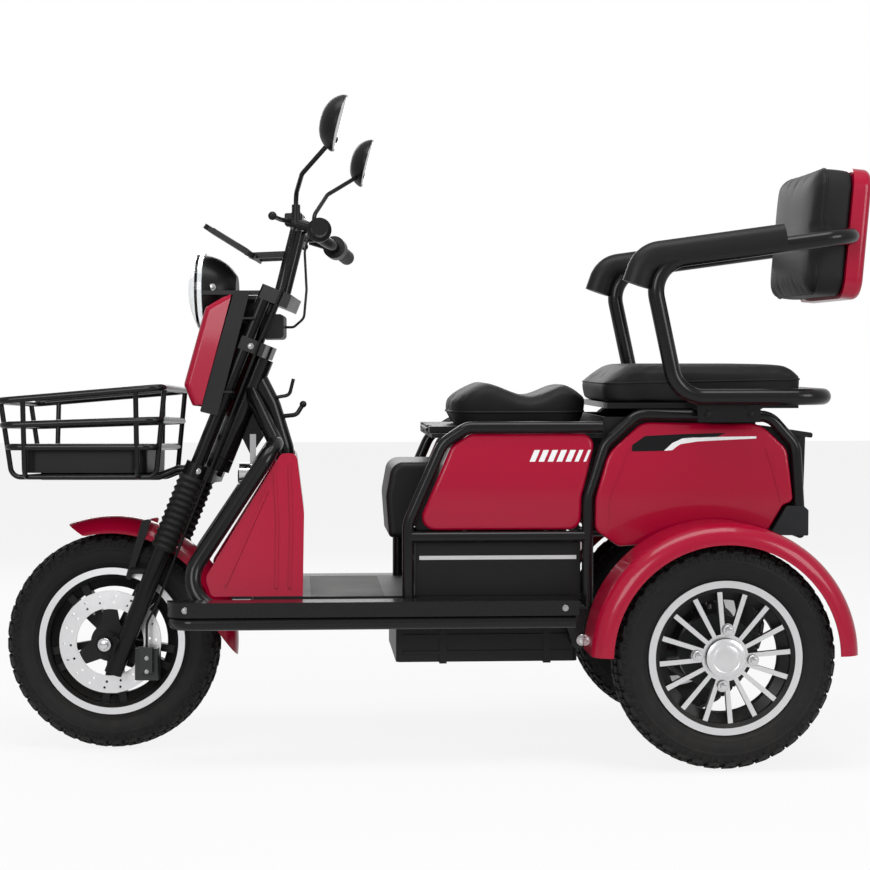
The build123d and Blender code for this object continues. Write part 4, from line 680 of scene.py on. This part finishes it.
def pad_blank(low, high, top_line, corner, droop, tuck):
    """A net of faces with a rounded plan, a shaped top and a tucked lower edge."""
    start_clean()
    middle = (Vector(low) + Vector(high)) / 2
    size = Vector(high) - Vector(low)
    bpy.ops.mesh.primitive_cube_add(size=2)
    pad = bpy.context.object
    edit_all(pad)
    bpy.ops.mesh.subdivide(number_cuts=NET_CUTS)
    leave_edit()
    for vertex in pad.data.vertices:
        u, v, w = vertex.co
        x, y = rounded_plan(u * size.x / 2, v * size.y / 2, size.x / 2, size.y / 2, corner)
        up = (w + 1) / 2
        narrow = 1 - tuck * (1 - up) ** 2
        rim = max(abs(u), abs(v))
        top = profile(top_line, middle.x + x) - droop * rim**6
        vertex.co = (middle.x + x * narrow, middle.y + y * narrow, low[2] + (top - low[2]) * up)
    return pad


# %% The stuffing
VOXEL = 0.005
FILL_FRAMES = 20


def read_points(mesh):
    """A mesh's vertex places as an array."""
    points = np.empty(len(mesh.vertices) * 3)
    mesh.vertices.foreach_get("co", points)
    return points.reshape(-1, 3)


def stuffed(pad, cap, base_height):
    """Remeshes a blank, inflates it as cloth up to a cap, and smooths it."""
    start_clean(pad)
    remesh = pad.modifiers.new("even_net", "REMESH")
    remesh.mode = "VOXEL"
    remesh.voxel_size = VOXEL
    relax = pad.modifiers.new("relax", "SMOOTH")
    relax.factor = 0.5
    relax.iterations = 4
    apply_modifiers(pad)
    scene = bpy.context.scene
    before = read_points(pad.data)
    cloth = pad.modifiers.new("fill", "CLOTH")
    cloth.settings.use_pressure = True
    cloth.settings.uniform_pressure_force = 4
    cloth.settings.effector_weights.gravity = 0
    cloth.settings.quality = 5
    cloth.point_cache.frame_start = 1
    cloth.point_cache.frame_end = FILL_FRAMES
    for step in range(1, FILL_FRAMES + 1):
        scene.frame_set(step)
    blown = pad.evaluated_get(bpy.context.evaluated_depsgraph_get()).to_mesh()
    moved = read_points(blown) - before
    pad.evaluated_get(bpy.context.evaluated_depsgraph_get()).to_mesh_clear()
    far = np.linalg.norm(moved, axis=1, keepdims=True)
    moved *= np.minimum(1.0, cap / np.maximum(far, 1e-9))
    after = before + moved
    after[:, 2] = np.maximum(after[:, 2], base_height)
    pad.modifiers.remove(cloth)
    scene.frame_set(1)
    pad.data.vertices.foreach_set("co", after.ravel())
    pad.data.update()
    finer = pad.modifiers.new("finer", "SUBSURF")
    finer.levels = finer.render_levels = 1
    apply_modifiers(pad)
    return pad


# %% Piping along a seam
def piping(pad, point, normal, radius):
    """A round bead on the pad's skin where a plane cuts it."""
    bead = copy_of(pad, Matrix.Identity(4))
    edit_all(bead)
    bpy.ops.mesh.bisect(plane_co=point, plane_no=normal, clear_inner=True, clear_outer=True)
    leave_edit()
    bpy.ops.object.convert(target="CURVE")
    bead = bpy.context.object
    bead.data.bevel_depth = radius
    bead.data.bevel_resolution = 2
    bpy.ops.object.convert(target="MESH")
    return bpy.context.object


# %% Rider's saddle
saddle_low, saddle_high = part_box("saddle_cushion")
PAD_FOOT_ROOM = Vector((0.002, 0.004, 0.0005))
PAD_TOP_ROOM = Vector((0.002, 0.004, 0))
SADDLE_LINE = [(-0.306, 0.704), (-0.268, 0.712), (-0.190, 0.688), (-0.098, 0.714), (-0.036, 0.698)]
saddle_low_in = saddle_low + PAD_FOOT_ROOM
saddle_high_in = saddle_high - PAD_TOP_ROOM
saddle = pad_blank(saddle_low_in, saddle_high_in, SADDLE_LINE, 0.070, 0.010, 0.07)
saddle = stuffed(saddle, 0.006, saddle_low.z)
saddle_seam = piping(saddle, (0, 0, saddle_low.z + 0.026), (0, 0, 1), 0.0024)
finish_piece(saddle, "saddle_pad", "saddle", vinyl, 60)
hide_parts("saddle_cushion")
finish_piece(saddle_seam, "saddle_piping", "saddle", vinyl, 60)

# %% Passenger's pad
bench_low, bench_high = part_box("passenger_cushion")
BENCH_LINE = [(-0.717, 0.738), (-0.690, 0.750), (-0.380, 0.750), (-0.318, 0.728)]
bench = pad_blank(bench_low + PAD_FOOT_ROOM, bench_high - PAD_TOP_ROOM, BENCH_LINE, 0.045, 0.010, 0.03)
bench = stuffed(bench, 0.006, bench_low.z)
bench_seam = piping(bench, (0, 0, bench_low.z + 0.030), (0.02, 0, 1), 0.0022)
finish_piece(bench, "passenger_pad", "chassis", vinyl, 60)
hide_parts("passenger_cushion")
finish_piece(bench_seam, "passenger_piping", "chassis", vinyl, 60)

# %% Backrest
BACK_LEAN = math.radians(5)
BACK_FOOT = Vector((-0.785, 0, 0.882))
BACK_DEEP = 0.070
BACK_HALF = 0.187
BACK_TALL = 0.250
back = pad_blank((-BACK_TALL / 2, -BACK_HALF, 0), (BACK_TALL / 2, BACK_HALF, BACK_DEEP),
                 [(-BACK_TALL / 2, BACK_DEEP), (BACK_TALL / 2, BACK_DEEP)], 0.040, 0.014, 0.0)
back = stuffed(back, 0.005, 0.0)
quarter_turn = Matrix.Rotation(math.radians(90), 4, "Y")
stand_up = Matrix.Translation((0, 0, BACK_TALL / 2 + 0.001)) @ quarter_turn
lean_back = Matrix.Translation(BACK_FOOT) @ Matrix.Rotation(-BACK_LEAN, 4, "Y")
back.data.transform(lean_back @ stand_up)
back_way = (math.cos(BACK_LEAN), 0, math.sin(BACK_LEAN))
back_seam = piping(back, BACK_FOOT + Vector(back_way) * (BACK_DEEP - 0.020), back_way, 0.0022)
finish_piece(back, "backrest_pad", "chassis", vinyl, 60)
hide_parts("backrest_cushion")
finish_piece(back_seam, "backrest_piping", "chassis", vinyl, 60)

# %% [markdown]
# ## Bolts
#
# A bolt is a hexagon with a chamfered top on a washer. It is modelled once and copied. The
# place of each is found by a ray against the frame's own piece, so a head always sits on
# the metal it holds.

# %% One bolt, 10 mm across
def hex_bolt():
    """A chamfered hexagon head on its washer, standing along Z from the origin."""
    start_clean()
    bpy.ops.mesh.primitive_cylinder_add(
        vertices=6, radius=0.0058, depth=0.0055, location=(0, 0, 0.0035)
    )
    head = bpy.context.object
    pick_faces(head, lambda face: face.normal.z > 0.9)
    bpy.ops.mesh.bevel(offset=0.0010, segments=2, affect="EDGES")
    leave_edit()
    bpy.ops.mesh.primitive_cylinder_add(
        vertices=24, radius=0.0085, depth=0.0014, location=(0, 0, 0.0003)
    )
    washer = bpy.context.object
    pick_faces(washer, lambda face: face.normal.z > 0.9)
    bpy.ops.mesh.bevel(offset=0.0003, segments=1, affect="EDGES")
    leave_edit()
    both = join([head, washer])
    start_clean(both)
    bpy.ops.object.transform_apply(location=True, rotation=True, scale=True)
    return both


bolt = hex_bolt()


def hit(node, origin, way):
    """Where a ray first meets a node of the frame, or None."""
    met, place, _, _ = nodes[node].ray_cast(Vector(origin), Vector(way).normalized())
    return place if met else None


def bolted(name, body, material, spots, size=1.0):
    """Bolts at (node, start of the ray, way of the ray), as one piece."""
    made = []
    for node, origin, way in spots:
        place = hit(node, origin, way)
        if place is None:
            print("no metal for a bolt of", name, "at", origin)
            continue
        turn = Vector((0, 0, 1)).rotation_difference(-Vector(way)).to_matrix().to_4x4()
        made.append(copy_of(bolt, Matrix.Translation(place) @ turn @ Matrix.Scale(size, 4)))
    return finish_piece(join(made), name, body, material, 30)


def from_sides(node, x, z, reach=0.5):
    """The same ray from the left and from the right."""
    return [(node, (x, side * reach, z), (0, -side, 0)) for side in (1, -1)]


# %% Bolts of the chassis
plate_spots = from_sides("arm_frame", -0.512, 0.661) + from_sides("arm_frame", -0.594, 0.661)
bolted("seat_plate_bolts", "chassis", satin_black, plate_spots, 0.85)
arm_spots = from_sides("main_frame", -0.279, 0.231)
bolted("swing_arm_bolts", "chassis", chrome, arm_spots, 1.25)
step_spots = from_sides("running_boards", -0.24, 0.299) + from_sides("running_boards", 0.47, 0.299)
bolted("step_bolts", "chassis", zinc, step_spots, 0.7)

# %% Bolts of the steering
FRONT_AXLE = FRONT_WHEEL.to_3x3() @ Vector((0, 1, 0))
axle_middle = FRONT_WHEEL.translation
axle_spots = []
for side in (1, -1):
    axle_spots.append(("fork", axle_middle + FRONT_AXLE * side * 0.5, -side * FRONT_AXLE))
bolted("front_axle_nuts", "steering", chrome, axle_spots, 1.5)
caliper_spots = [("brake_caliper", (0.553, 0.5, z), (0, -1, 0)) for z in (0.160, 0.186)]
bolted("caliper_bolts", "steering", zinc, caliper_spots, 0.5)
clamp_spots = from_sides("fork", 0.452, 0.549) + from_sides("fork", 0.350, 0.790)
bolted("clamp_bolts", "steering", zinc, clamp_spots, 0.7)
lamp_spots = from_sides("headlight_housing", 0.425, 0.905)
bolted("lamp_pivot_bolts", "steering", zinc, lamp_spots, 0.8)

# %% [markdown]
# ## Wheel nuts and hub caps
#
# Each rear wheel is held by four plated nuts round a domed cap.

# %% Nuts and cap of a rear wheel
NUT_COUNT = 4
NUT_RADIUS = 0.052
NUT_FACE = 0.031
NUT_SIZE = 1.15
FIRST_NUT = math.radians(5)


def wheel_dress(name, place, body, side):
    """Four nuts and a turned cap on the wheel's outer face."""
    made = []
    outwards = Matrix.Rotation(-side * math.radians(90), 4, "X")
    for number in range(NUT_COUNT):
        angle = FIRST_NUT + number * 2 * math.pi / NUT_COUNT
        spot = (NUT_RADIUS * math.cos(angle), side * NUT_FACE, NUT_RADIUS * math.sin(angle))
        nut_place = place @ Matrix.Translation(spot) @ outwards @ Matrix.Scale(NUT_SIZE, 4)
        made.append(copy_of(bolt, nut_place))
    finish_piece(join(made), name + "_nuts", body, chrome, 30)
    start_clean()
    bpy.ops.mesh.primitive_cylinder_add(vertices=64, radius=0.0365, depth=0.004)
    cap = bpy.context.object
    pick_faces(cap, lambda face: face.normal.z > 0.9)
    bpy.ops.mesh.inset(thickness=0.006, depth=0.003)
    bpy.ops.mesh.inset(thickness=0.004, depth=0.0)
    bpy.ops.mesh.inset(thickness=0.002, depth=-0.0012)
    bpy.ops.mesh.inset(thickness=0.003, depth=0.0012)
    bpy.ops.mesh.inset(thickness=0.012, depth=0.0008)
    leave_edit()
    cap.matrix_world = place @ Matrix.Translation((0, side * 0.0345, 0)) @ outwards
    finish_piece(cap, name + "_cap", body, pale_strip, 40)


wheel_dress("left_hub", LEFT_WHEEL, "rear_wheel_left", 1)
wheel_dress("right_hub", RIGHT_WHEEL, "rear_wheel_right", -1)

# %% [markdown]
# ## Trim film
#
# The panels wear printed film: slanted bars on the front panel, a white streak over a black
# wedge on the rear one. Film follows the panel, so a flat outline is cut fine, pressed on
# to the panel by a Shrinkwrap from the side, and given the film's thickness.

# %% A film of any outline
FILM = 0.0004
FILM_START_Y = 0.30


def pressed(piece, node, axis, way, gap):
    """Pushes a flat piece along one axis, forwards or back, on to a node's skin."""
    press = piece.modifiers.new("press", "SHRINKWRAP")
    press.target = nodes[node]
    press.wrap_method = "PROJECT"
    press.use_project_x = axis == "x"
    press.use_project_y = axis == "y"
    press.use_project_z = False
    press.use_negative_direction = way < 0
    press.use_positive_direction = way > 0
    press.wrap_mode = "ABOVE_SURFACE"
    press.offset = gap
    apply_modifiers(piece)


def film(outline, node, side, thickness=FILM):
    """A thin skin of an (x, z) outline, laid on a node from its left or right."""
    start_clean()
    path = bpy.data.curves.new("film", "CURVE")
    path.dimensions = "2D"
    path.fill_mode = "BOTH"
    line = path.splines.new("POLY")
    line.points.add(len(outline) - 1)
    for point, (x, z) in zip(line.points, outline):
        point.co = (x, z, 0, 1)
    line.use_cyclic_u = True
    piece = bpy.data.objects.new("film", path)
    bpy.context.scene.collection.objects.link(piece)
    start_clean(piece)
    bpy.ops.object.convert(target="MESH")
    piece = bpy.context.object
    edit_all(piece)
    for _ in range(3):
        bpy.ops.mesh.subdivide(number_cuts=1)
    leave_edit()
    for vertex in piece.data.vertices:
        vertex.co = (vertex.co.x, side * FILM_START_Y, vertex.co.y)
    pressed(piece, node, "y", -side, thickness / 2)
    edit_all(piece)
    bpy.ops.mesh.normals_make_consistent(inside=False)
    leave_edit()
    wall = piece.modifiers.new("wall", "SOLIDIFY")
    wall.thickness = thickness
    wall.offset = 0
    apply_modifiers(piece)
    return piece


# %% Slanted bars of the front panels
BAR_COUNT = 7
BAR_PITCH = 0.0171
BAR_START = -0.178
BAR_FOOT = 0.571
BAR_TOP = 0.593
BAR_SLANT = 0.0097
BAR_WIDE = 0.0106
BAR_TAPER = 0.0027
for side, label in ((1, "left"), (-1, "right")):
    bars = []
    for number in range(BAR_COUNT):
        wide = BAR_WIDE - BAR_TAPER * max(0, number - 4)
        front = BAR_START - number * BAR_PITCH
        back = front - wide
        foot = [(front, BAR_FOOT), (back, BAR_FOOT)]
        top = [(back - BAR_SLANT, BAR_TOP), (front - BAR_SLANT, BAR_TOP)]
        bars.append(film(foot + top, "mid_panels", side))
    finish_piece(join(bars), label + "_bars", "chassis", white_vinyl, 40)

# %% Wedge and streak of the rear panels
WEDGE = [
    (-0.373, 0.590), (-0.374, 0.602), (-0.399, 0.619), (-0.470, 0.6225), (-0.554, 0.6245),
    (-0.537, 0.617), (-0.471, 0.6143), (-0.4505, 0.6054), (-0.435, 0.591),
]
STREAK = [
    (-0.435, 0.591), (-0.4505, 0.592), (-0.458, 0.598), (-0.467, 0.6035),
    (-0.500, 0.6085), (-0.537, 0.6104), (-0.613, 0.6138), (-0.613, 0.618),
    (-0.537, 0.617), (-0.490, 0.6160), (-0.471, 0.6143), (-0.4505, 0.6054),
]
for side, label in ((1, "left"), (-1, "right")):
    wedge = film(WEDGE, "rear_panels", side)
    finish_piece(wedge, label + "_wedge", "chassis", black_film, 40)
    streak = film(STREAK, "rear_panels", side)
    finish_piece(streak, label + "_streak", "chassis", white_vinyl, 40)


# %% Raised lines moulded in the rear panels
def ribbon(points, width):
    """Outline of a narrow band along a few (x, z) points."""
    one, other = [], []
    for index, (x, z) in enumerate(points):
        before = points[max(0, index - 1)]
        after = points[min(len(points) - 1, index + 1)]
        way = Vector((after[0] - before[0], after[1] - before[1])).normalized() * width / 2
        one.append((x - way.y, z + way.x))
        other.append((x + way.y, z - way.x))
    return one + other[::-1]


FRONT_LINE = [(-0.371, 0.600), (-0.3505, 0.553), (-0.338, 0.520), (-0.330, 0.490), (-0.332, 0.462)]
REAR_LINE = [(-0.630, 0.598), (-0.642, 0.560), (-0.652, 0.520), (-0.660, 0.492)]
for side, label in ((1, "left"), (-1, "right")):
    lines = []
    for points in (FRONT_LINE, REAR_LINE):
        lines.append(film(ribbon(points, 0.0022), "rear_panels", side, 0.0012))
    finish_piece(join(lines), label + "_panel_lines", "chassis", crimson, 60)

# %% Bright strip along the skirts
STRIP = [(0.030, 0.384), (0.030, 0.3915), (-0.270, 0.3915), (-0.270, 0.384)]
for side, label in ((1, "left"), (-1, "right")):
    strip = film(STRIP, "side_skirts", side, 0.0012)
    finish_piece(strip, label + "_skirt_strip", "chassis", pale_strip, 40)

# %% [markdown]
# ## Headlamp and mirrors
#
# Behind the clear lens sits a pressed reflector bowl with its bulb, and each mirror holds a
# round glass in its recess. Both are placed on straight handlebars and then turned by the
# few degrees at which the steering rests.

# %% Reflector bowl and bulb
def steered(point, degrees):
    """A point turned about the steering axis."""
    turn = Matrix.Rotation(math.radians(degrees), 3, STEER_AXIS)
    return STEER_FOOT + turn @ (Vector(point) - STEER_FOOT)


STEER_REST = -6
LAMP_CENTRE = Vector((0.378, 0, 0.899))
LAMP_DEPTH = 0.0585
lamp_ahead = steered(LAMP_CENTRE + Vector((1, 0, 0)), STEER_REST)
LAMP_WAY = (lamp_ahead - steered(LAMP_CENTRE, STEER_REST)).normalized()
LAMP_SEAT = steered(LAMP_CENTRE + Vector((LAMP_DEPTH, 0, 0)), STEER_REST)
start_clean()
bpy.ops.mesh.primitive_uv_sphere_add(segments=48, ring_count=24, radius=0.064)
bowl = bpy.context.object
edit_all(bowl)
bpy.ops.mesh.bisect(plane_co=(0, 0, -0.004), plane_no=(0, 0, 1), clear_outer=True)
leave_edit()
bowl.scale = (1, 1, 0.45)
start_clean(bowl)
apply_scale()
bowl_wall = bowl.modifiers.new("wall", "SOLIDIFY")
bowl_wall.thickness = 0.0015
bowl_wall.offset = -1
apply_modifiers(bowl)
aim = Vector((0, 0, 1)).rotation_difference(LAMP_WAY).to_matrix().to_4x4()
bowl.matrix_world = Matrix.Translation(LAMP_SEAT) @ aim
finish_piece(bowl, "headlight_bowl", "steering", reflector, 60)
start_clean()
bpy.ops.mesh.primitive_uv_sphere_add(segments=24, ring_count=12, radius=0.010)
bulb = bpy.context.object
bulb.scale = (1, 1, 1.6)
apply_scale()
pick_faces(bulb, lambda face: face.center.z < -0.012)
bpy.ops.mesh.extrude_region_move(TRANSFORM_OT_translate={"value": (0, 0, -0.006)})
leave_edit()
bulb.matrix_world = Matrix.Translation(LAMP_SEAT - LAMP_WAY * 0.006) @ aim
finish_piece(bulb, "headlight_bulb", "steering", white_vinyl, 60)

# %% Mirror glasses
MIRROR_LEAN = math.radians(15)
MIRROR_X = 0.146
MIRROR_REACH = 0.385
MIRROR_Z = 1.186
head_turn = Matrix.Rotation(math.radians(STEER_REST), 4, STEER_AXIS)
about_head = Matrix.Translation(STEER_FOOT) @ head_turn @ Matrix.Translation(-STEER_FOOT)
glass_turn = Matrix.Translation((0.0008, 0, 0)) @ Matrix.Rotation(math.radians(-90), 4, "Y")
for side, rise, label in ((1, -0.013, "left"), (-1, 0.013, "right")):
    start_clean()
    bpy.ops.mesh.primitive_cylinder_add(vertices=64, radius=0.0485, depth=0.0022)
    glass = bpy.context.object
    pick_faces(glass, lambda face: face.normal.z > 0.9)
    bpy.ops.mesh.inset(thickness=0.0012, depth=0.0005)
    leave_edit()
    middle = (MIRROR_X, side * MIRROR_REACH, MIRROR_Z + rise)
    seat = Matrix.Translation(middle) @ Matrix.Rotation(-MIRROR_LEAN, 4, "Y")
    glass.matrix_world = about_head @ seat @ glass_turn
    finish_piece(glass, label + "_mirror_glass", "steering", mirror_glass, 40)

# %% [markdown]
# ## Dash window, tail lenses and creases
#
# The dash plate carries a dark window, tipped and turned as the plate is. The tail lamps
# get red lenses that follow their rear faces. The leg shield has moulded creases, and the
# strap that holds the front fender is black.

# %% Dash window
DASH_TILT = math.radians(-31.7)
dash_spot = hit("display", (0.386, -0.020, 1.2), (0, 0, -1))
start_clean()
bpy.ops.mesh.primitive_plane_add(size=1)
window = bpy.context.object
window.scale = (0.080, 0.112, 1)
apply_scale()
edit_all(window)
bpy.ops.mesh.bevel(offset=0.010, segments=6, affect="VERTICES")
bpy.ops.mesh.extrude_region_move(TRANSFORM_OT_translate={"value": (0, 0, 0.0016)})
bpy.ops.mesh.inset(thickness=0.0035, depth=0)
bpy.ops.mesh.inset(thickness=0.0006, depth=-0.0006)
leave_edit()
window.matrix_world = Matrix.Translation(dash_spot) @ head_turn @ Matrix.Rotation(DASH_TILT, 4, "Y")
finish_piece(window, "dash_window", "steering", dark_glass, 40)


# %% Lenses of the tail lamps
def rear_lens(name, inner, outer, low, high, material):
    """A lens pressed on to a tail lamp's rear face, from y inner to outer."""
    start_clean()
    bpy.ops.mesh.primitive_grid_add(x_subdivisions=20, y_subdivisions=12, size=1)
    lens = bpy.context.object
    for vertex in lens.data.vertices:
        across = inner + (vertex.co.x + 0.5) * (outer - inner)
        vertex.co = (-0.80, across, low + (vertex.co.y + 0.5) * (high - low))
    pressed(lens, "tail_lamps", "x", 1, 0.0001)
    wall = lens.modifiers.new("wall", "SOLIDIFY")
    wall.thickness = 0.003
    wall.offset = 0
    edge = lens.modifiers.new("edge", "BEVEL")
    edge.width = 0.001
    edge.segments = 2
    edge.limit_method = "ANGLE"
    apply_modifiers(lens)
    reach = min(vertex.co.x for vertex in lens.data.vertices)
    print(name, "reaches x", round(reach, 4))
    finish_piece(lens, name, "chassis", material, 40)


rear_lens("left_tail_lens", 0.129, 0.205, 0.437, 0.477, red_lens)
rear_lens("right_tail_lens", -0.205, -0.129, 0.437, 0.477, red_lens)

# %% Creases of the leg shield
VALLEY_FRONT = [(0.304, 0.545), (0.299, 0.450), (0.301, 0.330)]
VALLEY_REAR = [(0.276, 0.560), (0.272, 0.450), (0.276, 0.330)]
SLOPE_LINE = [(0.398, 0.335), (0.376, 0.384), (0.354, 0.433), (0.332, 0.482), (0.318, 0.513)]
for side, label in ((1, "left"), (-1, "right")):
    creases = []
    for points in (VALLEY_FRONT, VALLEY_REAR, SLOPE_LINE):
        creases.append(film(ribbon(points, 0.0045), "leg_shield", side, 0.003))
    finish_piece(join(creases), label + "_shield_creases", "chassis", crimson, 60)

# %% Black strap of the front fender
fender = nodes["front_fender"]
fender.data.materials.append(satin_black)
FENDER_LIP_RADIUS = 0.2115
FENDER_HALF = 0.0493
strap_faces = 0
for polygon in fender.data.polygons:
    spot = polygon.center - axle_middle
    sideways = spot.dot(FRONT_AXLE)
    outwards = (spot - FRONT_AXLE * sideways).length
    if outwards < FENDER_LIP_RADIUS or abs(sideways) > FENDER_HALF:
        polygon.material_index = 1
        strap_faces += 1
print("faces of the strap:", strap_faces, "of", len(fender.data.polygons))

# %% Remove the pattern bolt
bpy.data.objects.remove(bolt)

# %% [markdown]
# ## Studio
#
# The scooter stands on a pale floor under a pale sky, lit by four soft lamps. The camera
# stands at its left, about two scooter lengths and a half away, and looks slightly down.

# %% Floor and backdrop
GLOSS_SHARE = 0.45


def pale_studio(name, share):
    """A pale surface that shows near white and keeps part of the shadow."""
    material = bpy.data.materials.new(name)
    material.use_nodes = True
    tree = material.node_tree
    shader = tree.nodes["Principled BSDF"]
    shader.inputs["Base Color"].default_value = (0.88, 0.88, 0.88, 1)
    shader.inputs["Roughness"].default_value = 0.9
    shader.inputs["Specular IOR Level"].default_value = 0.1
    path = tree.nodes.new("ShaderNodeLightPath")
    in_gloss = math_node(tree, "MULTIPLY", path.outputs["Is Glossy Ray"], GLOSS_SHARE)
    seen = math_node(tree, "MAXIMUM", path.outputs["Is Camera Ray"], in_gloss)
    seen = math_node(tree, "MAXIMUM", seen, path.outputs["Is Transmission Ray"])
    part = math_node(tree, "MULTIPLY", seen, share)
    glow = tree.nodes.new("ShaderNodeEmission")
    glow.inputs["Strength"].default_value = 1.0
    blend = tree.nodes.new("ShaderNodeMixShader")
    wire(tree, part, blend.inputs[0])
    wire(tree, shader.outputs[0], blend.inputs[1])
    wire(tree, glow.outputs[0], blend.inputs[2])
    wire(tree, blend.outputs[0], tree.nodes["Material Output"].inputs["Surface"])
    return material


start_clean()
bpy.ops.mesh.primitive_plane_add(size=1, location=(0, 0, -0.001))
floor = bpy.context.object
floor.name = "studio_floor"
floor.scale = (30, 30, 1)
floor.data.materials.append(pale_studio("studio_white", 0.86))
floor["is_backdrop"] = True

# %% World and lamps
world = bpy.data.worlds.new("studio_world")
bpy.context.scene.world = world
world.use_nodes = True
sky = world.node_tree
backdrop = sky.nodes["Background"]
backdrop.inputs["Color"].default_value = (1, 1, 1, 1)
ray = sky.nodes.new("ShaderNodeLightPath")
in_gloss = math_node(sky, "MULTIPLY", ray.outputs["Is Glossy Ray"], GLOSS_SHARE)
shown = math_node(sky, "MAXIMUM", ray.outputs["Is Camera Ray"], in_gloss)
shown = math_node(sky, "MAXIMUM", shown, ray.outputs["Is Transmission Ray"])
level = sky.nodes.new("ShaderNodeMapRange")
level.inputs["To Min"].default_value = 0.25
level.inputs["To Max"].default_value = 1.0
wire(sky, shown, level.inputs["Value"])
wire(sky, level.outputs["Result"], backdrop.inputs["Strength"])


def soft_lamp(name, place, size, power):
    """An area lamp that looks at the middle of the scooter."""
    data = bpy.data.lights.new(name, "AREA")
    data.shape = "RECTANGLE"
    data.size, data.size_y = size
    data.energy = power
    lamp = bpy.data.objects.new(name, data)
    bpy.context.scene.collection.objects.link(lamp)
    lamp.location = place
    aim = Vector((0, 0, 0.5)) - Vector(place)
    lamp.rotation_euler = aim.to_track_quat("-Z", "Y").to_euler()
    return lamp


soft_lamp("top_lamp", (0.0, 0.8, 3.2), (2.6, 1.4), 55)
soft_lamp("side_lamp", (1.6, 3.6, 1.9), (1.6, 1.6), 46)
soft_lamp("tail_side_lamp", (-2.6, 2.6, 1.7), (1.4, 1.4), 36)
soft_lamp("far_lamp", (0.4, -3.4, 2.0), (2.4, 1.6), 36)

# %% Camera
CAMERA_PLACE = Vector((0.265, 4.30, 0.773))
CAMERA_YAW = math.radians(3.6897)
CAMERA_PITCH = math.radians(2.1104)
SENSOR_WIDTH = 36
LENS_LENGTH = 89.834
camera_data = bpy.data.cameras.new("studio_camera")
camera_data.sensor_width = SENSOR_WIDTH
camera_data.lens = LENS_LENGTH
camera = bpy.data.objects.new("studio_camera", camera_data)
bpy.context.scene.collection.objects.link(camera)
camera.location = CAMERA_PLACE
sight = Vector((
    -math.sin(CAMERA_YAW) * math.cos(CAMERA_PITCH),
    -math.cos(CAMERA_YAW) * math.cos(CAMERA_PITCH),
    -math.sin(CAMERA_PITCH),
))
camera.rotation_euler = sight.to_track_quat("-Z", "Y").to_euler()
bpy.context.scene.camera = camera
bpy.context.scene.view_settings.view_transform = "Standard"

# %% [markdown]
# ## Sizes
#
# How far the dressed scooter reaches past the box of its frame is printed, for its low and its high
# corner. The dressed scooter has to stay inside the box of its frame.

# %% Print how far the dressed scooter grew
low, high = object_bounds()
growth = (*(low - cad_low), *(high - cad_high))
print("grown by, in millimetres:", [round(1000 * v, 1) for v in growth])
